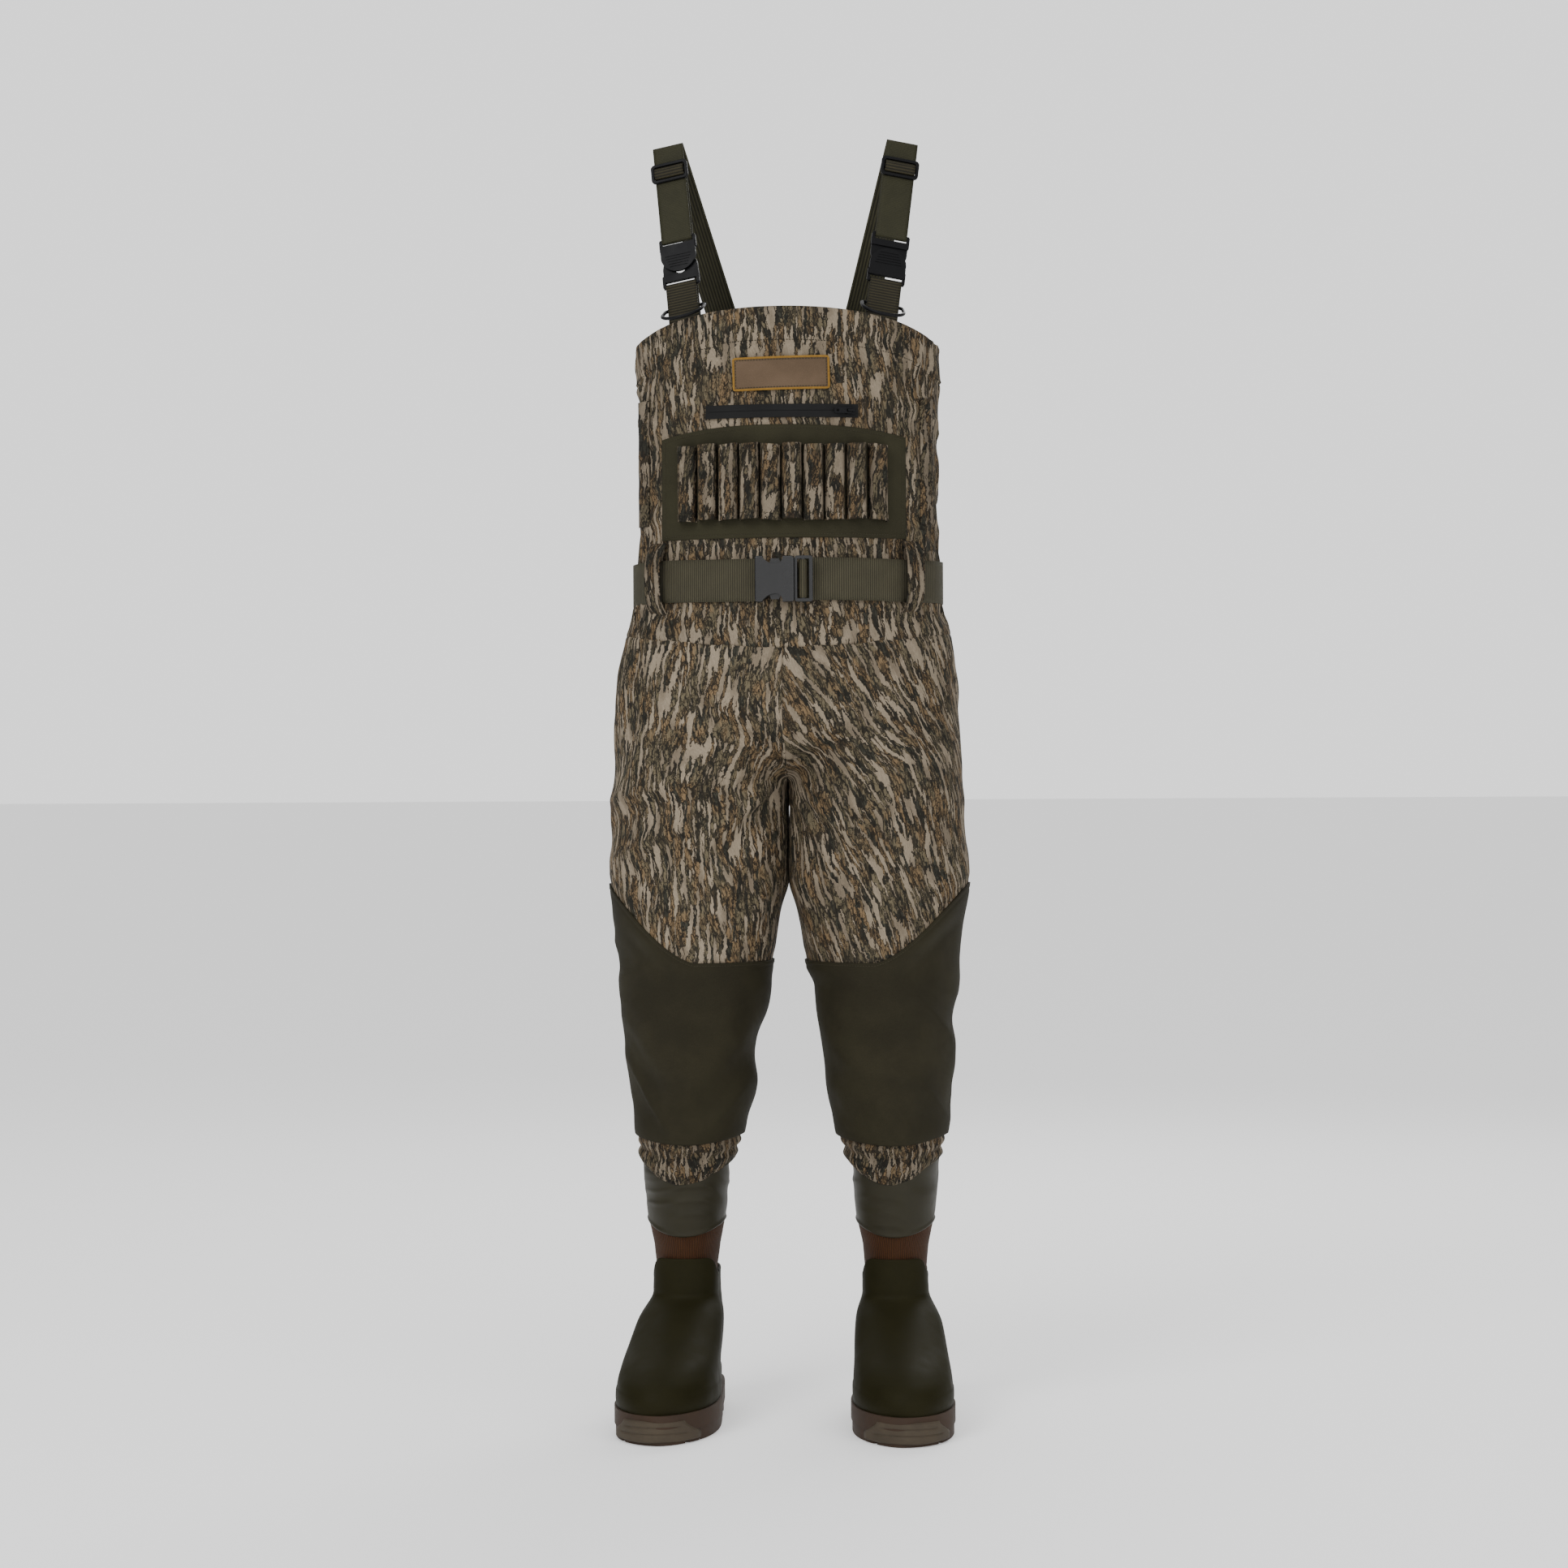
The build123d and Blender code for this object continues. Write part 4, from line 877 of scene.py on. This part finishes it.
def trouser_relief(u, v, z, base, seed):
    """Folds that run out from the crotch, slanting ones on the thigh, and puckers at the waist seam."""
    turns = (u + math.pi) / (2 * math.pi)
    from_inside = np.abs(u) / math.pi
    drop = 0.770 - z
    ray = np.arctan2(drop, base[..., 0] + 0.015)
    reach = np.hypot(base[..., 0], drop)
    radiating = (folds(ray * 3.4 + 2, reach * 4, seed) - 0.45) * 8.5 * MM * bump(reach, 0.10, 0.11)
    slanted = (folds(turns * 7 + z * 9, z * 5, seed + 1, 7) - 0.45) * 5.0 * MM
    broad = waves(turns * 5, z * 9, seed + 2, 5) * 5.0 * MM
    small = waves(turns * 34, z * 45, seed + 3, 34) * 0.7 * MM
    puckers = (folds(turns * 30, z * 4, seed + 4, 30) - 0.4) * 2.2 * MM * bump(z, 0.905, 0.022)
    fade = 1 - from_inside ** 12 * (z > CROTCH_Z - 0.03)
    ends = ease(v, 0.0, 0.16) * (1 - ease(v, 0.82, 0.95))
    creased = radiating + slanted * (0.4 + 0.6 * ease(v, 0.3, 0.7)) + broad + small
    waist_edge = 1.6 * MM * (1 - ease(v, 0.0, 0.02))
    middle_seam = 1.6 * MM * bump(from_inside, 1.0, 0.012) * (z > CROTCH_Z)
    out = creased * fade * ends + puckers * fade - waist_edge - middle_seam
    inner_wall = ease(from_inside, 0.72, 0.95) * (z < CROTCH_Z + 0.02)
    return out * (1 - 0.85 * inner_wall) - 1.2 * MM * ease(v, 0.94, 0.975)


def trouser_half(name, side):
    """Half of the hips and one thigh, open at the waist seam and at the knee seam."""
    rows, columns = 150, 201
    u = np.linspace(-math.pi, math.pi, columns)[None, :]
    v = np.linspace(0, 1, rows)[:, None]
    waist = seam_height(WAIST_HALF_X * np.cos(u / 2)) + 0.005
    z = waist + (knee_seam(u) - 0.006 - waist) * v
    base = trouser_base(u, z)
    steps = np.linalg.norm(np.diff(base, axis=1), axis=2)
    walked = np.concatenate([np.zeros((rows, 1)), np.cumsum(steps, axis=1)], axis=1)
    walked = walked - walked[:, columns // 2:columns // 2 + 1]
    points = pushed(base, trouser_relief(u, v, z, base, 30 if side > 0 else 50))
    below = z[:, 0] < CROTCH_Z
    points[:, 0][below] = points[:, -1][below]
    points = beside_middle(points, z)
    fallen = np.cumsum(np.linalg.norm(np.diff(points, axis=0, prepend=points[:1]), axis=2), axis=0)
    uv = np.stack([walked, z[:1] - fallen], axis=2)
    points = mirrored(points) if side < 0 else points
    camo = CAMO_TURNED if side > 0 else CAMO
    piece = thicken(grid_piece(f"trouser_{name}", points, uv, [camo, LINING], weld=True), lining=True)
    nodes = [f"trouser_seat_{name}", f"trouser_thigh_{name}"]
    hip = ((0, AXIS_Y, CROTCH_Z), (side * 0.108, AXIS_Y, 0.626))
    bend(piece, "garment", f"thigh_{name}", *hip, nodes, "camo")


def knee_cloth(name, side):
    """Knee and shin panel: the leg's ellipse with long slanting folds and level creases behind the knee."""
    u, v, turns = sleeve_grid(130, 200)
    bottom = 0.333 - 0.009 * np.sin(u) ** 2
    z = knee_seam(u) + (bottom - knee_seam(u)) * v
    seed = 80 if side > 0 else 90
    wandering = 1.2 * waves(turns * 4, z * 5, seed + 5, 4)
    slant = (folds(turns * 5 + z * 9 * side, z * 9, seed, 5) - 0.45) * 3.6 * MM
    level = (folds(turns * 3, z * 19 + wandering, seed + 1, 3) - 0.5) * 3.4 * MM
    broad = waves(turns * 3, z * 8, seed + 2, 3) * 2.8 * MM
    small = waves(turns * 26, z * 40, seed + 3, 26) * 0.6 * MM
    back = ease(np.sin(u), 0.2, 0.9)
    creases = (folds(turns * 4, z * 30, seed + 4, 4) - 0.5) * 4.5 * MM * back * bump(z, 0.48, 0.05)
    fade = ease(v, 0.03, 0.16) * (1 - 0.6 * ease(v, 0.86, 1.0))
    seam = 1.2 * MM - 0.6 * MM * bump(knee_seam(u) - z, 0.007, 0.002)
    points = pushed(leg_level(u, z), (slant + level + broad + small + creases) * fade + seam, closed=True)
    piece = sleeve(f"knee_cloth_{name}", side, points, z, 0.088, [KNEE, LINING])
    points = mirrored(points) if side < 0 else points
    thread_row = 2
    normal = surface_normals(points, True)[thread_row]
    line = points[thread_row]
    thread = stitches(f"knee_thread_{name}", line, normal, THREAD, closed=True, thick=0.35 * MM, lift=0.0)
    bodies = (f"thigh_{name}", f"shin_{name}")
    knee = ((side * 0.115, AXIS_Y, 0.54), (side * 0.119, AXIS_Y, 0.40))
    nodes = [f"knee_panel_{name}", f"shin_panel_{name}"]
    bend(thicken(piece, lining=True), *bodies, *knee, nodes, "olive_cloth")
    bend(thread, *bodies, *knee)


# height, centre x, half width, half depth and centre y of the left cuff
CUFF = np.array([
    (0.2700, 0.1256, 0.0515, 0.0605, 0.001), (0.2830, 0.1252, 0.0535, 0.0625, 0.001),
    (0.3045, 0.1242, 0.0560, 0.0655, 0.002), (0.3260, 0.1232, 0.0600, 0.0700, 0.003),
    (0.3450, 0.1220, 0.0630, 0.0725, 0.003),
])


def cuff_cloth(name, side):
    """Camouflage cuff, bunched in two rolls under the panel's edge, its lower edge hanging in the middle."""
    u, v, turns = sleeve_grid(64, 180)
    high = 0.346
    low = 0.300 - 0.024 * np.sin(u) ** 2
    z = high + (low - high) * v
    seed = 110 if side > 0 else 120
    sway = 0.07 * np.sin(u * 2 + seed)
    rolls = 2.2 * MM * bump(v, 0.44 + sway, 0.13) + 2.4 * MM * bump(v, 0.80 - sway, 0.12)
    rolls = rolls - 1.8 * MM * bump(v, 0.62, 0.07)
    uneven = waves(turns * 6 + v, v * 4, seed, 6) * 2.0 * MM * ease(v, 0.1, 0.4)
    tucks = waves(turns * 22, v * 2.5, seed + 1, 22) * 0.4 * MM
    lip = -1.4 * MM * ease(v, 0.92, 1.0)
    points = pushed(leg_level(u, z, 0.0, CUFF), rolls + uneven + tucks + lip, closed=True)
    piece = sleeve(f"cuff_cloth_{name}", side, points, z * 1.4, 0.062, [CAMO_SMALL_PAINTED_SHADE, LINING])
    onto(thicken(piece, lining=True), f"shin_{name}", [f"cuff_{name}"])


# ---------------------------------------------------------------- boots

RUBBER_WALL = 3 * MM
# height, centre x, half width, half depth and centre y of the left boot's bands
BAND = np.array([(0.1700, 0.126, 0.0375, 0.0495, -0.001), (0.1784, 0.126, 0.0385, 0.0500, -0.001),
                 (0.2136, 0.126, 0.0420, 0.0515, 0.0), (0.2140, 0.126, 0.0450, 0.0530, 0.0),
                 (0.2786, 0.126, 0.0515, 0.0590, 0.0), (0.3100, 0.126, 0.0530, 0.0605, 0.0)])


def boot_bands(name, side):
    """Rubber band below the cuff, its lower edge a U, and the ribbed stretch band that shows under it."""
    u, v, turns = sleeve_grid(60, 160)
    seed = 140 if side > 0 else 150
    high = 0.304
    z = high + (0.230 - 0.017 * np.clip(-np.sin(u), 0, 1) ** 1.5 - high) * v
    wandering = waves(turns * 5, z * 9, seed, 5)
    wrinkles = (folds(turns * 5, z * 60 + wandering, seed + 1, 5) - 0.5) * 1.6 * MM * (1 - 0.6 * v)
    lip = 1.2 * MM * bump(v, 0.985, 0.03)
    points = pushed(leg_level(u, z, 0.4 * MM, BAND), wrinkles + lip, closed=True)
    piece = sleeve(f"top_band_{name}", side, points, z, 0.052, [BAND_RUBBER])
    onto(thicken(piece, RUBBER_WALL), f"shin_{name}", [f"boot_top_band_{name}"])
    high, low = 0.243, 0.165
    z = high + (low - high) * v + 0 * u
    stretch = waves(turns * 9, z * 30, seed + 2, 9) * 0.8 * MM
    points = pushed(leg_level(u, z, -1.2 * MM, BAND), stretch, closed=True)
    piece = thicken(sleeve(f"flex_band_{name}", side, points, z, 0.048, [STRETCH]))
    ankle = ((side * SHAFT_X, AXIS_Y, 0.222), (side * SHAFT_X, AXIS_Y, 0.180))
    bend(piece, f"shin_{name}", f"boot_{name}", *ankle, [f"boot_flex_band_{name}"], "stretch_band")


# height, y of the toe and the heel, half width at the ball, half width at the heel
FOOT = np.array([
    (0.024, -0.232, 0.0660, 0.0570, 0.0400), (0.045, -0.236, 0.0680, 0.0590, 0.0420),
    (0.062, -0.228, 0.0660, 0.0580, 0.0410), (0.078, -0.200, 0.0630, 0.0560, 0.0400),
    (0.092, -0.160, 0.0600, 0.0545, 0.0405), (0.108, -0.122, 0.0570, 0.0525, 0.0405),
    (0.120, -0.098, 0.0550, 0.0500, 0.0405), (0.130, -0.078, 0.0530, 0.0450, 0.0400),
    (0.139, -0.058, 0.0515, 0.0395, 0.0390), (0.178, -0.053, 0.0510, 0.0385, 0.0385),
    (0.200, -0.052, 0.0510, 0.0390, 0.0390),
])
# share of the way from toe to heel, and how much fuller than a lens the outline is there
FULLNESS = np.array([
    (0, 1.17), (0.06, 1.175), (0.19, 1.145), (0.38, 1.03), (0.62, 1.0), (0.84, 1.2), (0.96, 1.31), (1, 1.33),
])
TOE_OUT = math.radians(5)


def foot_outline(phi, z):
    """Level outline of the foot at a height: phi is 0 at the toe, half a turn at the heel."""
    toe, heel, ball, back = soft_profile(FOOT, z, 0.006)
    length_share = (1 - np.cos(phi)) / 2
    half_width = ball + (back - ball) * ease(length_share, 0.30, 0.86)
    x = half_width * np.sin(phi) * np.interp(length_share, *FULLNESS.T)
    y = toe + (heel - toe) * length_share
    turn = TOE_OUT * (1 - ease(z, 0.11, 0.16))
    turned_x = SHAFT_X + x * np.cos(turn) - y * np.sin(turn)
    turned_y = AXIS_Y + x * np.sin(turn) + y * np.cos(turn)
    return np.stack(np.broadcast_arrays(turned_x, turned_y, z), axis=-1)


def boot_rubber(name, side):
    """Foot shell: level outlines that shrink from toe to shaft, creased at the instep; arched top edge."""
    u, v, turns = sleeve_grid(110, 176)
    phi = u + math.pi
    low = 0.026
    top = 0.165 + 0.022 * ease(np.cos(phi), 0.25, 0.80) + 0.008 * np.clip(-np.cos(phi), 0, 1)
    z = low + (top - low) * v
    front = ease(np.cos(phi), -0.2, 0.8)
    seed = 170 if side > 0 else 180
    crease = -0.8 * MM * bump(z, 0.142, 0.005) * front
    ankle = waves(turns * 6, z * 18, seed, 6) * 1.0 * MM * ease(z, 0.07, 0.12)
    lip = 0.3 * MM * bump(v, 0.985, 0.02)
    foxing = 0.8 * MM * (1 - ease(z, 0.052, 0.055))
    points = pushed(foot_outline(phi, z), crease + ankle + lip + foxing, closed=True)
    piece = sleeve(f"boot_rubber_{name}", side, points, z, 0.095, [RUBBER])
    onto(thicken(piece, RUBBER_WALL), f"boot_{name}", [f"boot_foot_{name}"])


def toe_bumper(name, side):
    """Ribbed guard round the toe: a trapezoid on the sole's outline, with two level grooves."""
    v = np.linspace(0, 1, 40)[:, None]
    t = np.linspace(-1, 1, 60)[None, :]
    z = (2.5 + 25.5 * v) * MM
    points = foot_outline(t * (0.80 - 0.24 * ease(v, 0.25, 0.95)), np.maximum(z, 0.03))
    points[..., 2] = z
    from_side = 1 - np.abs(t)
    grooves = 1.3 * MM * (bump(z, 0.0125, 0.0011) + bump(z, 0.0200, 0.0011)) * ease(from_side, 0.20, 0.30)
    edge = ease(from_side, 0.0, 0.10) * ease(np.minimum(v, 1 - v), 0.0, 0.09)
    out = 3.0 * MM + (3.4 * MM - grooves) * edge
    ball_y = AXIS_Y - 0.13
    points = points + unit((points - np.array([SHAFT_X, ball_y, 0])) * np.array([1, 1, 0])) * out[..., None]
    uv = np.stack(np.broadcast_arrays(t * 0.06, z), axis=2)
    piece = grid_piece(f"toe_bumper_{name}", mirrored(points) if side < 0 else points, uv, [BUMPER])
    onto(thicken(piece, 2.5 * MM), f"boot_{name}", [f"boot_toe_guard_{name}"])


# ---------------------------------------------------------------- shoulder straps

def strap_pieces(name, side):
    """Strap from the clip over the shoulder fold to the back's outside; hem tab; webbing over the slider."""
    flip = np.array([side, 1, 1])
    hem = np.array([0.1165, AXIS_Y - 0.069, 1.305])
    top = np.array([0.141, AXIS_Y - 0.012, 1.525])
    crossing = np.array([0.0790, AXIS_Y + 0.1088, 1.311])
    back = np.array([0.0660, AXIS_Y + 0.1148, 1.262])
    width, thickness, loop_r, turn_r = 38 * MM, 1.8 * MM, 3.2, 4.2 * MM
    up = unit(top - hem)
    across = unit(np.cross(back - top, up))
    face = np.cross(across, up)

    def at(distance, lift):
        return (hem + up * distance * MM + face * lift * MM) * flip

    over = (top + face * 3.0 * MM) * flip
    corners = [at(184, -loop_r), at(103, -loop_r), at(103, loop_r), over, crossing * flip, back * flip]
    path = rounded_path(corners, turn_r, 1.5 * MM)
    fold_row = int(np.argmax(path[:, 2]))
    lying = (1 - ease(path[:, 2], 1.303, 1.345)) * (np.arange(len(path)) > fold_row)
    run = unit(np.gradient(path, axis=0))
    along_back = np.array([0.970, -0.243, 0.0])
    width_way = (across + (along_back - across) * lying[:, None]) * flip
    width_way = unit(width_way - run * (width_way * run).sum(axis=1, keepdims=True))
    looks = [STRAP_FRONT, STRAP_REAR]
    piece = ribbon(f"strap_cloth_{name}", path, width_way, width, thickness, looks, fold_row)
    onto(piece, "garment", [f"strap_{name}"])
    corners = [at(-11, loop_r), at(49.8, loop_r), at(49.8, -loop_r), at(-11, -loop_r)]
    path = rounded_path(corners, turn_r)
    piece = ribbon(f"hem_tab_cloth_{name}", path, across * flip, width, thickness, [TAB])
    onto(piece, "garment", [f"hem_tab_{name}"])
    path = np.array([at(192 + 7 * t, 5.2 + 4.4 * (1 - t * t) ** 0.7) for t in np.linspace(-1, 1, 31)])
    piece = ribbon(f"slider_fold_cloth_{name}", path, across * flip, 36.4 * MM, 1.6 * MM, [TAB])
    onto(piece, f"strap_slider_{name}", [f"slider_fold_{name}"])


# ---------------------------------------------------------------- assembly

SIDE_FINISHES = {
    "boot_outsole": SOLE, "boot_midsole": SOLE, "boot_insole": INSOLE, "strap_slider": BLACK_PLASTIC,
    "clip_upper": BLACK_PLASTIC, "clip_lower": BLACK_PLASTIC, "d_ring": BLACK_PLASTIC, "ring_keeper": LINING,
}
MIDDLE_FINISHES = {
    "inner_pocket": LINING, "zipper_tape": ZIP_TAPE,
    "zipper_slider": BLACK_PLASTIC, "zipper_pull": BLACK_PLASTIC,
    "buckle_case": PLASTIC, "buckle_frame": PLASTIC,
    "buckle_prong_upper": PLASTIC, "buckle_prong_lower": PLASTIC,
}

bib_cloth()
chest()
belt()
for side_name, sign in SIDES.items():
    trouser_half(side_name, sign)
    knee_cloth(side_name, sign)
    cuff_cloth(side_name, sign)
    boot_bands(side_name, sign)
    boot_rubber(side_name, sign)
    toe_bumper(side_name, sign)
    strap_pieces(side_name, sign)
    for node, finish in SIDE_FINISHES.items():
        keep(f"{node}_{side_name}", finish)
for node, finish in MIDDLE_FINISHES.items():
    keep(node, finish)


# ---------------------------------------------------------------- stage, light and camera

def studio_floor():
    """Pale floor under the boots, its far edge far behind the garment."""
    ground_z = min(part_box(f"boot_outsole_{name}")[0][2] for name in SIDES)
    bpy.ops.mesh.primitive_plane_add(size=300, location=(0, 0, ground_z - 0.5 * MM))
    ground = bpy.context.object
    ground.name = "studio_floor"
    f = Finish("studio_floor")
    f.shader.inputs["Emission Color"].default_value = (1, 1, 1, 1)
    ground.data.materials.append(f.finish((0.92, 0.92, 0.92, 1), 0.9, Emission_Strength=0.22))
    return ground


def studio_sky():
    """White sky, bright in front and behind and dim at both sides."""
    world = bpy.data.worlds.new("studio")
    world.use_nodes = True
    tree = world.node_tree
    direction = tree.nodes.new("ShaderNodeTexCoord").outputs["Generated"]
    split = tree.nodes.new("ShaderNodeSeparateXYZ")
    sideways = tree.nodes.new("ShaderNodeMath")
    sideways.operation = "ABSOLUTE"
    dimmer = tree.nodes.new("ShaderNodeMapRange")
    dimmer.interpolation_type = "SMOOTHSTEP"
    for key, number in (("From Min", 0.30), ("From Max", 0.75), ("To Min", 1.45), ("To Max", 0.22)):
        dimmer.inputs[key].default_value = number
    tree.links.new(direction, split.inputs[0])
    tree.links.new(split.outputs[0], sideways.inputs[0])
    tree.links.new(sideways.outputs[0], dimmer.inputs["Value"])
    tree.links.new(dimmer.outputs[0], tree.nodes["Background"].inputs["Strength"])
    tree.nodes["Background"].inputs["Color"].default_value = (1.0, 1.0, 1.0, 1)
    return world


def aim(thing, place, target):
    """Put a lamp or the camera at a place, looking at the target."""
    thing.location = place
    thing.rotation_euler = (target - Vector(place)).to_track_quat("-Z", "Y").to_euler()
    bpy.context.scene.collection.objects.link(thing)


def stage_and_light():
    """Floor, sky, three large lamps and the camera."""
    scene = bpy.context.scene
    ground = studio_floor()
    scene.world = studio_sky()
    lamps = []
    for name, place, size, power in (
        ("key", (-1.6, -2.6, 2.9), 1.6, 60),
        ("fill", (2.4, -2.2, 1.4), 1.8, 24),
        ("rim", (0.6, 2.6, 2.6), 1.6, 40),
    ):
        lamp = bpy.data.lights.new(name, "AREA")
        lamp.size, lamp.energy = size, power
        lamps.append(bpy.data.objects.new(name, lamp))
        aim(lamps[-1], place, Vector((0, AXIS_Y, 0.8)))
    lens = bpy.data.cameras.new("camera")
    lens.lens, lens.sensor_width = 76, 36
    seen = bpy.data.objects.new("camera", lens)
    turn, distance = math.radians(3.5), 4.0
    target = Vector((-0.006, AXIS_Y, 0.754))
    aim(seen, target + distance * Vector((math.sin(turn), -math.cos(turn), 0)), target)
    seen.rotation_euler.rotate_axis("Z", math.radians(-0.3))
    scene.camera = seen


stage_and_light()
